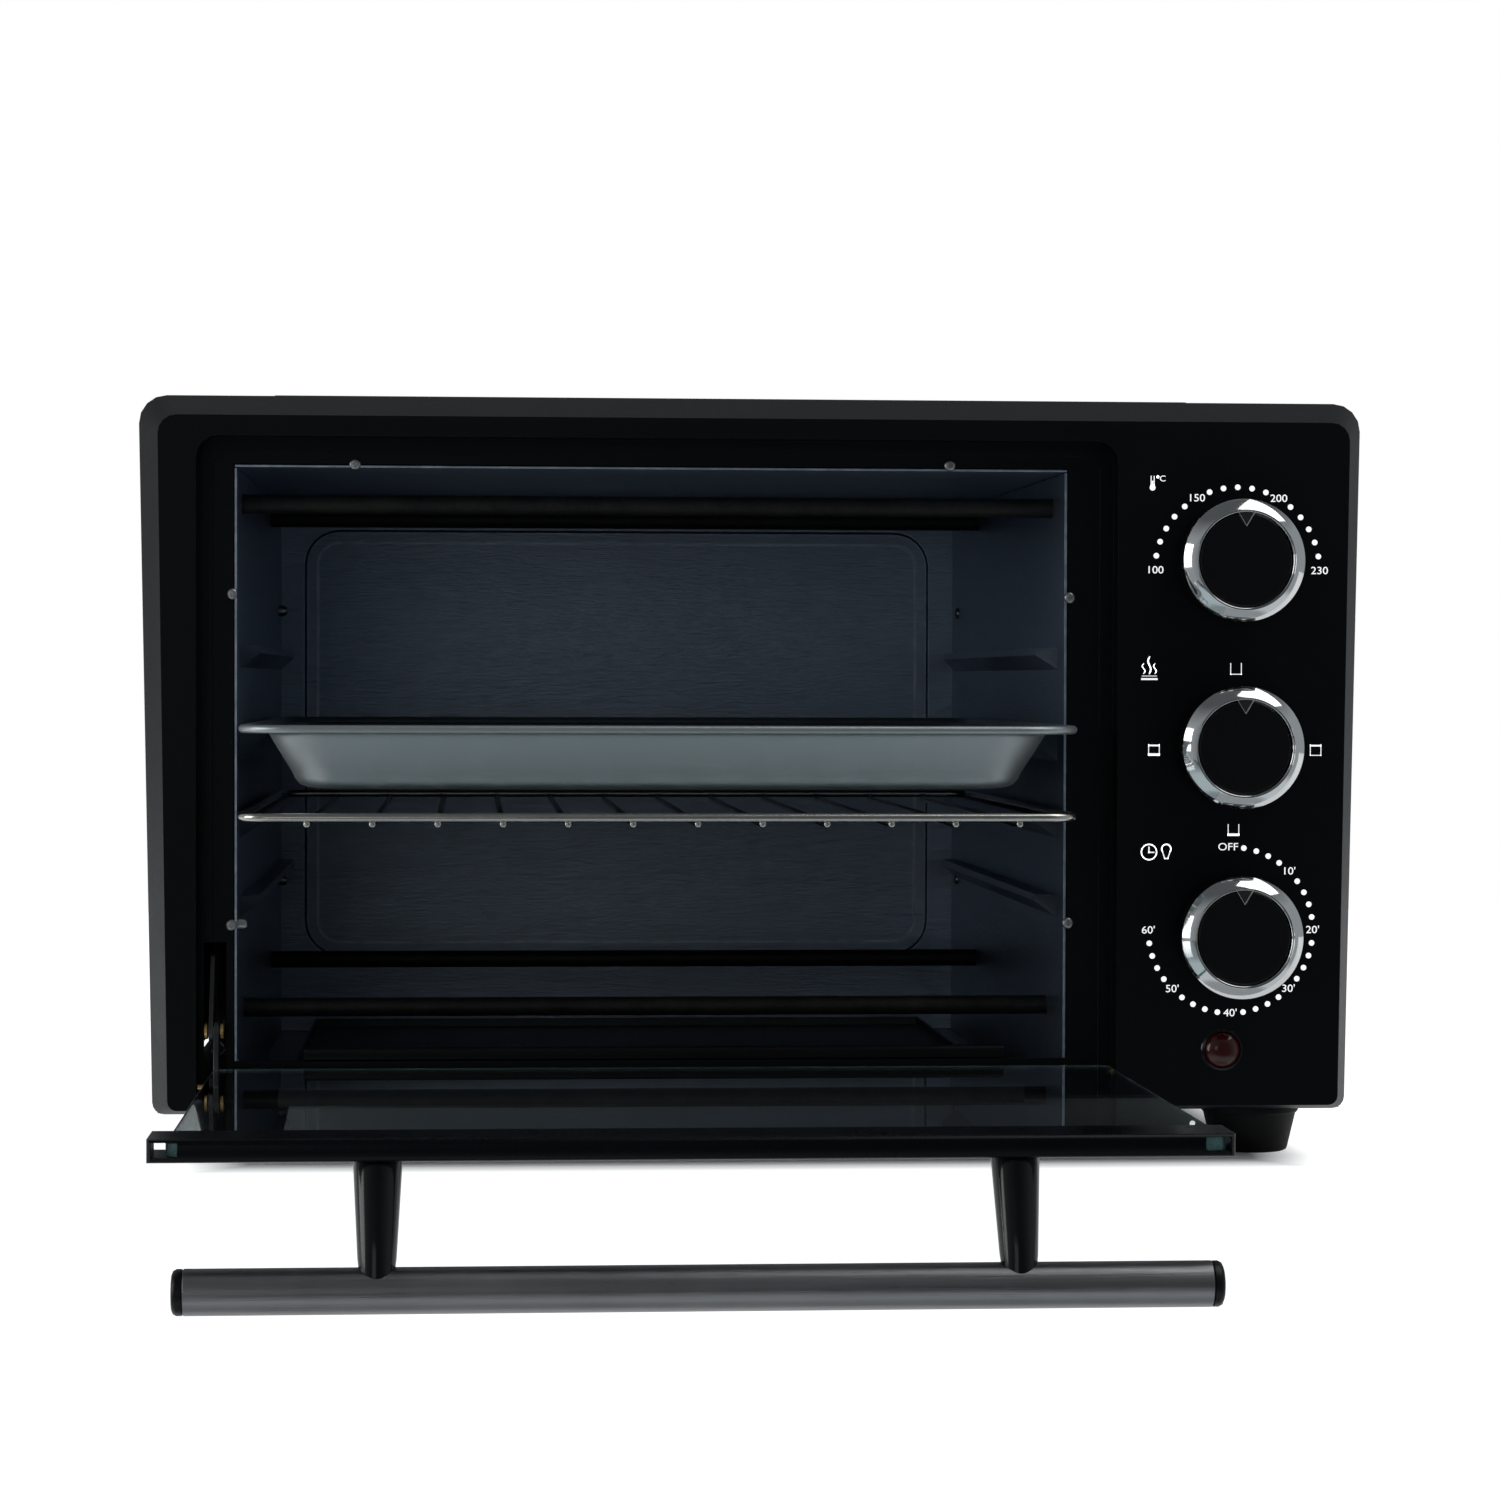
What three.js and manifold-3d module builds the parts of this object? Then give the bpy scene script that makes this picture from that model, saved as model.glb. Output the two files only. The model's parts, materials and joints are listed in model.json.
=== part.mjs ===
// A countertop toaster oven with its glass door open and its tray and rack pulled forward.
// Millimetres, +Z up. While it is built, X runs to the right, Y runs into the oven from the
// front face, and Z is measured from the underside of the feet.
import * as THREE from 'three';
import { mergeVertices } from 'three/addons/utils/BufferGeometryUtils.js';
import Module from 'manifold-3d';

const wasm = await Module();
wasm.setup();
const { Manifold } = wasm;

// ---- driving dimensions -------------------------------------------------------------------

const gap = 0.3;
const running = 0.1;
const sheet = 0.8;

const face = { top: 241.4, bottom: 18.6, halfTop: 193, halfBottom: 189.8 };
const rim = { y: 18, top: 248.8, bottom: 15.6, halfTop: 200.4, halfBottom: 196 };
const casing = { y0: rim.y + gap, y1: 326, wall: 0.7, raise: 2.6 };
const panel = { y0: 46, y1: 300, z0: 42, z1: 226, left: -163, right: 153, slope: 5 };
const louvres = { count: 9, first: 70, pitch: 12, width: 4, z0: 60, z1: 100 };
const vents = { count: 8, first: 90, pitch: 14, width: 4, left: 120, right: 180 };
const bump = { left: -130, right: 60, bottom: 60, top: 190, draft: 8, depth: 9 };
const skin = 2.5;

const nest = { left: -180.7, right: 116.7, top: 234.8, bottom: 24.5, depth: 9.5, radius: 7 };
const step = { inset: 4.5, depth: 10.3, radius: 5 };
const nestBack = 12.5;
const leverSlot = { left: -178.9, right: -171.7, bottom: 17.2, top: 72 };
const lugSlot = { left: 109.6, right: 113.4, depth: 8, bottom: 20.5, top: 31 };
const cavity = { left: -168.25, right: 100.65, top: 225.3, lip: 33.3, front: 10, back: 306.9 };
const base = { z0: 15.9, z1: 16.6 };

const knobs = {
  temperature: { x: 154.7, z: 195.9 },
  function: { x: 154.7, z: 135.7 },
  timer: { x: 154.7, z: 74.5 },
};
const lamp = { x: 151.6, z: 36.8, radius: 5.95 };
const controlPlate = { y0: 19, y1: 20, left: 106, right: 191, bottom: 44, top: 232 };

const pivot = { y: 2, z: 26, pin: 1.2 };
const glass = { left: -174.95, right: 113.7, z0: 28.3, z1: 32.3, rear: -2.5, front: -201.4 };
const channel = {
  left: -180, right: 116.1, z0: 26.7, z1: 33.1, rear: -181, front: -203, corner: 2.2,
};
const bar = { left: -173.3, right: 112.8, y: -201, z: -8.2, radius: 6.36, cap: 2.9 };
const posts = { left: -118.2, right: 56.5, rootY: -192, rootRadius: 6.8, tipRadius: 5.2 };
const rivet = { y: 5.5, z: 44, radius: 1.8 };
const stay = { endY: 15.5, endZ: 66 };
const spring = { x: -177, z: 34, y0: 45, y1: 112.2, radius: 2.6 };

const tray = {
  left: -165.7, right: 99.4, front: -44, back: 246, rimZ0: 139.7, rimZ1: 143.1, floor: 122.5,
};
const rack = { left: -165.97, right: 99.03, front: -38.8, back: 230, z: 113.9, rod: 1.4, wire: 1.1 };
const rackWires = { count: 12, first: -143.9, last: 79.5 };
const lip = { width: 10.2, draft: 9.4, inset: 9 };
const bead = { left: -159, right: 90.8, bottom: 46.8, top: 216.8, width: 5.3, height: 1.8 };
const crumbs = { left: -154.5, right: 86.5, front: 0.3, back: 300, z0: 18.2, z1: 22.2 };

const rods = {
  upper_front: { y: 39.3, z: 214.7 },
  upper_rear: { y: 228, z: 217.7 },
  lower_front: { y: 49.6, z: 47.7 },
  lower_rear: { y: 232, z: 50.7 },
};
const rodRadius = 3.15;
const foot = { x: 168, frontY: 36.6, rearY: 298, top: 15.6, topRadius: 16.4, baseRadius: 12.5 };
const terminal = { x0: 140, x1: 182, y0: 270, y1: 290, z0: 17.1, z1: 35 };
const gland = { x: 165, z: 48, radius: 7 };

// ---- solids -------------------------------------------------------------------------------

function solid(geometry) {
  const bare = geometry.clone();
  bare.deleteAttribute('normal');
  bare.deleteAttribute('uv');
  const merged = mergeVertices(bare, 1e-4);
  const mesh = new wasm.Mesh({
    numProp: 3,
    vertProperties: merged.attributes.position.array,
    triVerts: new Uint32Array(merged.index.array),
  });
  return new Manifold(mesh);
}

function geometryOf(shape) {
  const mesh = shape.getMesh();
  const geometry = new THREE.BufferGeometry();
  geometry.setAttribute('position', new THREE.BufferAttribute(mesh.vertProperties, 3));
  geometry.setIndex(new THREE.BufferAttribute(mesh.triVerts, 1));
  geometry.computeVertexNormals();
  return geometry;
}

function join(shapes) {
  return Manifold.union(shapes);
}

function block(x0, x1, y0, y1, z0, z1) {
  const box = new THREE.BoxGeometry(x1 - x0, y1 - y0, z1 - z0);
  box.translate((x0 + x1) / 2, (y0 + y1) / 2, (z0 + z1) / 2);
  return solid(box);
}

// The corners of an outline with each one rounded to its own radius.
function rounded(corners, radii, steps = 4) {
  const points = corners.map(([x, y]) => new THREE.Vector2(x, y));
  return points.flatMap((corner, i) => {
    const radius = Array.isArray(radii) ? radii[i] : radii;
    if (!radius) return [corner];
    const before = points.at(i - 1).clone().sub(corner).normalize();
    const after = points[(i + 1) % points.length].clone().sub(corner).normalize();
    const half = Math.acos(before.dot(after)) / 2;
    const middle = before.clone().add(after).normalize();
    const centre = middle.multiplyScalar(radius / Math.sin(half)).add(corner);
    const start = before.clone().multiplyScalar(radius / Math.tan(half)).add(corner).sub(centre);
    const end = after.clone().multiplyScalar(radius / Math.tan(half)).add(corner).sub(centre);
    let sweep = end.angle() - start.angle();
    if (sweep > Math.PI) sweep -= 2 * Math.PI;
    if (sweep < -Math.PI) sweep += 2 * Math.PI;
    return Array.from({ length: steps + 1 }, (_, k) => {
      const turned = start.clone().rotateAround(new THREE.Vector2(), (sweep * k) / steps);
      return turned.add(centre);
    });
  });
}

function rectangle(x0, x1, z0, z1, radius, steps) {
  return rounded([[x0, z0], [x1, z0], [x1, z1], [x0, z1]], radius, steps);
}

function circle(x, y, radius, sides = 20) {
  return Array.from({ length: sides }, (_, i) => {
    const angle = (2 * Math.PI * i) / sides;
    return new THREE.Vector2(x + radius * Math.cos(angle), y + radius * Math.sin(angle));
  });
}

function extrude(points, depth) {
  return new THREE.ExtrudeGeometry(new THREE.Shape(points), { depth, bevelEnabled: false });
}

// An outline in X and Z, drawn out along Y.
function alongY(points, y0, y1) {
  const geometry = extrude(points, y1 - y0);
  geometry.rotateX(Math.PI / 2);
  geometry.translate(0, y1, 0);
  return solid(geometry);
}

// An outline in X and Y, drawn out along Z.
function alongZ(points, z0, z1) {
  const geometry = extrude(points, z1 - z0);
  geometry.translate(0, 0, z0);
  return solid(geometry);
}

// An outline in Y and Z, drawn out along X.
function alongX(points, x0, x1) {
  const geometry = extrude(points, x1 - x0);
  const turn = new THREE.Matrix4().makeBasis(
    new THREE.Vector3(0, 1, 0), new THREE.Vector3(0, 0, 1), new THREE.Vector3(1, 0, 0),
  );
  geometry.applyMatrix4(turn);
  geometry.translate(x0, 0, 0);
  return solid(geometry);
}

function pinX(x0, x1, y, z, radius, sides = 16) {
  const geometry = new THREE.CylinderGeometry(radius, radius, x1 - x0, sides);
  geometry.rotateZ(-Math.PI / 2);
  geometry.translate((x0 + x1) / 2, y, z);
  return solid(geometry);
}

function pinY(y0, y1, x, z, radius, sides = 20) {
  const geometry = new THREE.CylinderGeometry(radius, radius, y1 - y0, sides);
  geometry.translate(x, (y0 + y1) / 2, z);
  return solid(geometry);
}

// A profile of [radius, y] pairs turned about the Y direction through x, z.
function turnedY(profile, x, z, sides = 28) {
  const points = profile.map(([r, y]) => new THREE.Vector2(r, y));
  const geometry = new THREE.LatheGeometry(points, sides);
  geometry.translate(x, 0, z);
  return solid(geometry);
}

function turnedZ(profile, x, y, sides = 18) {
  const points = profile.map(([r, z]) => new THREE.Vector2(r, z));
  const geometry = new THREE.LatheGeometry(points, sides);
  geometry.rotateX(Math.PI / 2);
  geometry.translate(x, y, 0);
  return solid(geometry);
}

function swept(curve, radius, sides, steps) {
  const outline = new THREE.Shape(circle(0, 0, radius, sides));
  return solid(new THREE.ExtrudeGeometry(outline, { extrudePath: curve, steps }));
}

// ---- finishes and the assembly ------------------------------------------------------------

const finishes = {
  blackPaint: { color: 0x111214, roughness: 0.34, metalness: 0.1 },
  casingPaint: { color: 0x151618, roughness: 0.45, metalness: 0.1 },
  linerSteel: { color: 0x8a9098, roughness: 0.42, metalness: 0.85 },
  plate: { color: 0x9a9c9e, roughness: 0.5, metalness: 0.8 },
  plastic: { color: 0x0c0c0d, roughness: 0.28, metalness: 0 },
  chrome: { color: 0xd9dadc, roughness: 0.12, metalness: 1 },
  brushed: { color: 0x8f9090, roughness: 0.34, metalness: 1 },
  doorGlass: { color: 0x31403f, roughness: 0.06, metalness: 0, transparent: true, opacity: 0.55 },
  nickel: { color: 0xb7b3a8, roughness: 0.25, metalness: 1 },
  trayMetal: { color: 0x7f8688, roughness: 0.42, metalness: 0.6 },
  rubber: { color: 0x141414, roughness: 0.8, metalness: 0 },
  ceramic: { color: 0xe4dfd4, roughness: 0.75, metalness: 0 },
  sheath: { color: 0x3a3836, roughness: 0.55, metalness: 0.6 },
  brass: { color: 0xb38c4c, roughness: 0.3, metalness: 1 },
  redLens: { color: 0x94130f, roughness: 0.12, metalness: 0, transparent: true, opacity: 0.85 },
  wiring: { color: 0x6b2a1c, roughness: 0.6, metalness: 0 },
};

const assembly = new THREE.Group();

function add(name, shape, finish) {
  const mesh = new THREE.Mesh(geometryOf(shape), new THREE.MeshStandardMaterial(finishes[finish]));
  mesh.name = name;
  assembly.add(mesh);
}

// ---- casing -------------------------------------------------------------------------------

// The outline of the casing in X and Z, moved inwards by inset.
function section(inset) {
  return rounded([
    [-rim.halfBottom + inset, rim.bottom + inset],
    [rim.halfBottom - inset, rim.bottom + inset],
    [rim.halfTop - inset, rim.top - inset],
    [-rim.halfTop + inset, rim.top - inset],
  ], [4, 4, 9, 9]);
}

// The smaller outline of the front face, from which the bezel's flanks slope back to its rim.
function faceOutline(inset) {
  return rounded([
    [-face.halfBottom + inset, face.bottom + inset],
    [face.halfBottom - inset, face.bottom + inset],
    [face.halfTop - inset, face.top - inset],
    [-face.halfTop + inset, face.top - inset],
  ], [3, 3, 6, 6]);
}

function frontBezel() {
  const shell = Manifold.hull([
    alongY(faceOutline(0), 0, 0.1),
    alongY(section(0), rim.y - 0.1, rim.y),
  ]);
  const hollow = Manifold.hull([
    alongY(faceOutline(skin), skin, skin + 0.1),
    alongY(section(skin), rim.y, rim.y + 1),
  ]);
  const tub = block(nest.left - skin, nest.right + skin, 0, nestBack, 0, nest.top + skin);
  const nestOutline = rectangle(
    nest.left, nest.right, nest.bottom, nest.top, [0, 0, nest.radius, nest.radius],
  );
  const stepOutline = rectangle(
    nest.left + step.inset, nest.right - step.inset,
    nest.bottom + 2, nest.top - step.inset, [0, 0, step.radius, step.radius],
  );
  const opening = block(
    cavity.left - sheet - gap, cavity.right + sheet + gap, 0, rim.y + 1,
    cavity.lip, cavity.top + sheet + gap,
  );
  const slots = [
    block(leverSlot.left, leverSlot.right, -1, rim.y + 1, leverSlot.bottom, leverSlot.top),
    block(lugSlot.left, lugSlot.right, -1, lugSlot.depth, lugSlot.bottom, lugSlot.top),
    block(crumbs.left - 2 * gap, crumbs.right + 2 * gap, -1, rim.y + 1, 0, crumbs.z1 + 2 * gap),
  ];
  const holes = Object.values(knobs).map(({ x, z }) => pinY(-1, skin + 1, x, z, 4.2));
  return shell
    .subtract(hollow.subtract(tub))
    .subtract(alongY(nestOutline, -1, nest.depth))
    .subtract(alongY(stepOutline, -1, step.depth))
    .subtract(opening)
    .subtract(join([...slots, ...holes]))
    .subtract(pinY(-1, skin + 1, lamp.x, lamp.z, lamp.radius + gap));
}

// The casing's outer surface as a solid, moved inwards by inset: the plain section with a
// raised panel pressed into the top and into each side.
function casingSolid(inset) {
  const overrun = inset ? 2 : 0;
  const body = alongY(section(inset), casing.y0 - overrun, casing.y1 + overrun);
  const { y0, y1, z0, z1, left, right, slope } = panel;
  const grown = alongY(section(inset - casing.raise), y0 + slope, y1 - slope);
  const wide = 400;
  const sides = Manifold.hull([
    body.intersect(block(-wide, wide, y0 + inset, y1 - inset, z0 + inset, z1 - inset)),
    grown.intersect(block(-wide, wide, 0, wide, z0 + slope, z1 - slope)),
  ]);
  const lid = Manifold.hull([
    body.intersect(block(left + inset, right - inset, y0 + inset, y1 - inset, z1 - slope, wide)),
    grown.intersect(block(left + slope, right - slope, 0, wide, z1 - slope, wide)),
  ]);
  return join([body, sides, lid]);
}

function housingWrap() {
  const half = rim.halfBottom - casing.wall;
  const openBase = block(-half, half, 0, 2 * half, 0, panel.z0 - casing.wall);
  const slits = Array.from({ length: louvres.count }, (_, i) => {
    const y = louvres.first + louvres.pitch * i;
    return block(half, half + 20, y, y + louvres.width, louvres.z0, louvres.z1);
  });
  return casingSolid(0).subtract(casingSolid(casing.wall)).subtract(join([openBase, ...slits]));
}

function rearCover() {
  const y0 = casing.y1 + gap;
  const { left, right, bottom, top, draft, depth } = bump;
  const outline = (inset) => rectangle(left + inset, right - inset, bottom + inset, top - inset, 8);
  const raised = (inset) => Manifold.hull([
    alongY(outline(inset), y0, y0 + 0.1),
    alongY(outline(inset + draft), y0 + depth - inset - 1, y0 + depth - inset),
  ]);
  const slits = Array.from({ length: vents.count }, (_, i) => {
    const z = vents.first + vents.pitch * i;
    return block(vents.left, vents.right, y0 - 1, y0 + 2, z, z + vents.width);
  });
  return join([alongY(section(0), y0, y0 + casing.wall), raised(0)])
    .subtract(raised(casing.wall).translate([0, -0.01, 0]))
    .subtract(join(slits))
    .subtract(pinY(y0 - 1, y0 + 2, gland.x, gland.z, gland.radius + gap));
}

add('front_bezel', frontBezel(), 'blackPaint');
add('housing_wrap', housingWrap(), 'casingPaint');
add('rear_cover', rearCover(), 'casingPaint');
add('bottom_plate', block(-194.4, 194.4, casing.y0 + gap, casing.y1 - gap, base.z0, base.z1), 'plate');

const footProfile = [
  [0, 0], [foot.baseRadius - 1, 0], [foot.baseRadius, 1],
  [foot.topRadius - 0.8, foot.top - 2], [foot.topRadius, foot.top], [0, foot.top],
];
for (const [place, side] of [['left', -1], ['right', 1]]) {
  add(`front_${place}_foot`, turnedZ(footProfile, side * foot.x, foot.frontY), 'rubber');
  add(`rear_${place}_foot`, turnedZ(footProfile, side * foot.x, foot.rearY), 'rubber');
}

// The flanged bush where the mains cord leaves the rear cover, closed where the cord is cut.
const glandProfile = [
  [0, casing.y1 - 8], [gland.radius, casing.y1 - 8], [gland.radius, casing.y1 + 1.7],
  [gland.radius + 3, casing.y1 + 1.7], [gland.radius + 2, casing.y1 + 9], [4, casing.y1 + 9],
  [4, casing.y1 + 6], [0, casing.y1 + 6],
];
add('cord_gland', turnedY(glandProfile, gland.x, gland.z, 16), 'rubber');

// ---- cooking cavity -----------------------------------------------------------------------

const ledges = [
  { z: 86, reach: 6 },
  { z: rack.z - rack.rod - gap, reach: 6 },
  { z: tray.rimZ0 - gap, reach: 8 },
  { z: 168, reach: 6 },
];

// One side wall of the cavity: side is -1 for the left wall and 1 for the right one.
function cavityWall(side) {
  const inner = side < 0 ? cavity.left : cavity.right;
  const between = (a, b) => [Math.min(a, b), Math.max(a, b)];
  const [x0, x1] = between(inner, inner + side * sheet);
  const upper = block(x0, x1, cavity.front, cavity.back - gap, cavity.lip + gap, cavity.top - gap);
  const lower = block(x0, x1, rim.y + gap, cavity.back - gap, base.z1 + gap, cavity.lip + 1);
  const pressings = ledges.map(({ z, reach }) => {
    const tip = inner - side * reach;
    const root = inner + side * (sheet / 2);
    const [a, b] = between(root, tip);
    const slant = reach * 0.8;
    const [c, d] = between(root, inner);
    return Manifold.hull([
      block(a, b, 34, 286, z - 2.4, z),
      block(c, d, 24, 296, z - 2.4 - slant, z),
    ]);
  });
  const holes = Object.values(rods).map(({ y, z }) => pinX(x0 - 1, x1 + 1, y, z, rodRadius + 0.4));
  return join([upper, lower, ...pressings]).subtract(join(holes));
}

function backPanel() {
  const y0 = cavity.back;
  const plate = block(
    cavity.left - sheet, cavity.right + sheet, y0, y0 + sheet, base.z1 + gap, cavity.top - gap,
  );
  const outline = (inset) => rectangle(
    bead.left + inset, bead.right - inset, bead.bottom + inset, bead.top - inset, 14 - inset, 6,
  );
  const pressing = Manifold.hull([
    alongY(outline(0), y0 - 0.1, y0 + 0.1),
    alongY(outline(1), y0 - bead.height, y0),
  ]);
  const field = alongY(outline(bead.width), y0 - 2 * bead.height, y0 + sheet / 2);
  return join([plate, pressing.subtract(field)]);
}

function springAnchor() {
  const y0 = spring.y1 + gap;
  return block(
    spring.x - spring.radius, cavity.left - sheet / 2, y0, y0 + 1.2, spring.z - 5, spring.z + 4,
  );
}

add('cavity_left_wall', join([cavityWall(-1), springAnchor()]), 'linerSteel');
add('cavity_right_wall', cavityWall(1), 'linerSteel');
add('cavity_ceiling', block(
  cavity.left - sheet, cavity.right + sheet, cavity.front, cavity.back + sheet,
  cavity.top, cavity.top + sheet,
), 'linerSteel');
add('cavity_back_panel', backPanel(), 'linerSteel');

const sill = { left: -147, right: 81.3, front: nestBack - 2.2, back: nestBack + 3, top: cavity.lip + 4.3 };
const sillOutline = rounded([
  [nestBack + gap, cavity.lip - 3], [sill.back, cavity.lip - 3], [sill.back, sill.top],
  [sill.front, sill.top], [sill.front, cavity.lip + gap], [nestBack + gap, cavity.lip + gap],
], [0, 0, 1.5, 1, 0, 0], 3);
add('sill_strip', alongX(sillOutline, sill.left, sill.right), 'plastic');

for (const [name, { y, z }] of Object.entries(rods)) {
  add(`heating_rod_${name}`, pinX(cavity.left - 5.4, cavity.right + 5.4, y, z, rodRadius, 14), 'sheath');
}
const holderThickness = 3.2;
const holderSides = [
  ['left', cavity.left - sheet - gap - holderThickness, cavity.left - sheet - gap],
  ['right', cavity.right + sheet + gap, cavity.right + sheet + gap + holderThickness],
];
for (const level of ['upper', 'lower']) {
  const front = rods[`${level}_front`];
  const rear = rods[`${level}_rear`];
  for (const [side, x0, x1] of holderSides) {
    const strip = block(x0, x1, front.y - 10, rear.y + 10, front.z - 7, front.z + 10);
    const bores = [front, rear].map(({ y, z }) => pinX(x0 - 1, x1 + 1, y, z, rodRadius + gap, 14));
    add(`${level}_${side}_rod_holder`, strip.subtract(join(bores)), 'ceramic');
  }
}

function crumbTray() {
  const { left, right, front, back, z0, z1 } = crumbs;
  const pan = block(left, right, front, back, z0, z1);
  const inside = block(left + sheet, right - sheet, front + sheet, back - sheet, z0 + sheet, z1 + 1);
  const frontLip = block(left, right, front, front + sheet, rim.bottom + 2 * gap, z1 + gap);
  return join([pan.subtract(inside), frontLip]);
}
add('crumb_tray', crumbTray(), 'trayMetal');

// ---- tray and rack ------------------------------------------------------------------------

function bakingTray() {
  const { left, right, front, back, rimZ0, rimZ1, floor } = tray;
  const outline = (sides, ends, radius) => (
    rectangle(left + sides, right - sides, front + ends, back - ends, radius, 6)
  );
  const pan = (inset, z0) => Manifold.hull([
    alongZ(outline(lip.width + inset, lip.inset + inset, 18), rimZ0, rimZ0 + 1),
    alongZ(outline(lip.width + lip.draft + inset, lip.inset + lip.draft + inset, 12), z0, z0 + 0.1),
  ]);
  const flange = alongZ(outline(0, 0, 20), rimZ0, rimZ1);
  const trough = alongZ(outline(2.6, 2.6, 17.4), rimZ0 + 1, rimZ1 + 1);
  return join([flange.subtract(trough), pan(0, floor)]).subtract(
    join([pan(sheet, floor + sheet), pan(sheet, floor + sheet).translate([0, 0, 0.9])]),
  );
}

function wireRack() {
  const { left, right, front, back, z, rod, wire } = rack;
  const frame = { x0: left + rod, x1: right - rod, y0: front + rod, y1: back - rod };
  const bend = 9;
  const corner = (x, y, turnX, turnY) => {
    const curve = new THREE.QuadraticBezierCurve3(
      new THREE.Vector3(x + turnX * (bend + 0.5), y, z),
      new THREE.Vector3(x, y, z),
      new THREE.Vector3(x, y + turnY * (bend + 0.5), z),
    );
    return swept(curve, rod, 8, 5);
  };
  const acrossRod = (y) => pinX(frame.x0 + bend, frame.x1 - bend, y, z, rod, 8);
  const sideRod = (x) => pinY(frame.y0 + bend, frame.y1 - bend, x, z, rod, 8);
  const pitch = (rackWires.last - rackWires.first) / (rackWires.count - 1);
  const wires = Array.from({ length: rackWires.count }, (_, i) => (
    pinY(frame.y0 - 0.6, frame.y1 + 0.6, rackWires.first + pitch * i, z - rod - wire + 0.5, wire, 6)
  ));
  return join([
    acrossRod(frame.y0), acrossRod(frame.y1), sideRod(frame.x0), sideRod(frame.x1),
    corner(frame.x0, frame.y0, 1, 1), corner(frame.x1, frame.y0, -1, 1),
    corner(frame.x0, frame.y1, 1, -1), corner(frame.x1, frame.y1, -1, -1),
    ...wires,
  ]);
}

add('baking_tray', bakingTray(), 'trayMetal');
add('wire_rack', wireRack(), 'nickel');

// ---- controls -----------------------------------------------------------------------------

const knobProfile = [
  [0, -20.4], [15.1, -20.4], [15.1, -16.6], [18.9, -16.6], [19.3, -2.2], [18.6, -1.2],
  [3.3, -1.2], [3.3, -12], [0, -12],
];
const ringProfile = [
  [15.4, -20.8], [16.1, -21.4], [19.75, -17.8], [19.75, -16.9], [15.4, -16.9], [15.4, -20.8],
];
const shaftProfile = [
  [0, -11.7], [2.6, -11.7], [3, -11.3], [3, controlPlate.y1 + 1], [0, controlPlate.y1 + 1],
];
const pointerPlate = { tip: 10.9, base: 15.6, half: 2.75, y0: -21, y1: -20.7 };

for (const [name, { x, z }] of Object.entries(knobs)) {
  const pointer = alongY(rounded([
    [x, z + pointerPlate.tip],
    [x + pointerPlate.half, z + pointerPlate.base],
    [x - pointerPlate.half, z + pointerPlate.base],
  ], 0), pointerPlate.y0, pointerPlate.y1);
  add(`${name}_knob`, turnedY(knobProfile, x, z), 'plastic');
  add(`${name}_knob_ring`, join([turnedY(ringProfile, x, z), pointer]), 'chrome');
  add(`${name}_shaft`, turnedY(shaftProfile, x, z, 16), 'plate');
}

function mountingPlate() {
  const { y0, y1, left, right, bottom, top } = controlPlate;
  const flange = block(left, left + 1, y0, y0 + 14, bottom, top);
  const holes = Object.values(knobs).map(({ x, z }) => pinY(y0 - 1, y1 + 1, x, z, 3.6));
  return join([block(left, right, y0, y1, bottom, top), flange]).subtract(join(holes));
}
add('control_mounting_plate', mountingPlate(), 'plate');

// The body of a switch behind the mounting plate, with its row of connection tabs.
function switchBody({ x, z }, half, depth, tabs) {
  const y0 = controlPlate.y1 + gap;
  const body = alongY(rectangle(x - half, x + half, z - half, z + half, half * 0.3), y0, y0 + depth);
  const boss = pinY(y0 + depth - 1, y0 + depth + 4, x, z, half * 0.6, 20);
  const socket = pinY(y0 - 1, controlPlate.y1 + 1 + gap, x, z, 3.6);
  const blades = Array.from({ length: tabs }, (_, i) => {
    const left = x - half + 4 + 8 * i;
    return block(left, left + 1, y0 + depth - 1, y0 + depth + 9, z - half + 2, z - half + 8);
  });
  return join([body, boss, ...blades]).subtract(socket);
}
add('thermostat', switchBody(knobs.temperature, 15, 18, 2), 'ceramic');
add('function_switch', switchBody(knobs.function, 17, 22, 4), 'ceramic');
add('timer', switchBody(knobs.timer, 22, 26, 3), 'plate');

const lensProfile = [[0, -3], [3.2, -2.6], [5.2, -1.2], [5.95, 0], [5.95, 2], [0, 2]];
const lampProfile = [[0, 2.3], [7.6, 2.9], [7.6, 4.4], [4.8, 4.4], [4.8, 26], [0, 26]];
add('pilot_lamp_lens', turnedY(lensProfile, lamp.x, lamp.z, 20), 'redLens');
add('pilot_lamp_body', turnedY(lampProfile, lamp.x, lamp.z, 14), 'plastic');

function terminalBlock() {
  const { x0, x1, y0, y1, z0, z1 } = terminal;
  const bays = Array.from({ length: 3 }, (_, i) => {
    const left = x0 + 4 + 13 * i;
    return block(left, left + 8, y0 - 1, y1 + 1, z1 - 6, z1 + 1);
  });
  return block(x0, x1, y0, y1, z0, z1).subtract(join(bays));
}
add('terminal_block', terminalBlock(), 'ceramic');
const loom = new THREE.CatmullRomCurve3([
  new THREE.Vector3(160, terminal.y0 - gap, 23),
  new THREE.Vector3(160, 220, 26),
  new THREE.Vector3(170, 130, 60),
  new THREE.Vector3(178, 80, 120),
  new THREE.Vector3(178, 62, 190),
]);
add('wiring_loom', swept(loom, 4, 8, 24), 'wiring');

// ---- door ---------------------------------------------------------------------------------

add('door_glass', alongZ(
  rectangle(glass.left, glass.right, glass.front, glass.rear, 2, 3), glass.z0, glass.z1,
), 'doorGlass');

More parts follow.
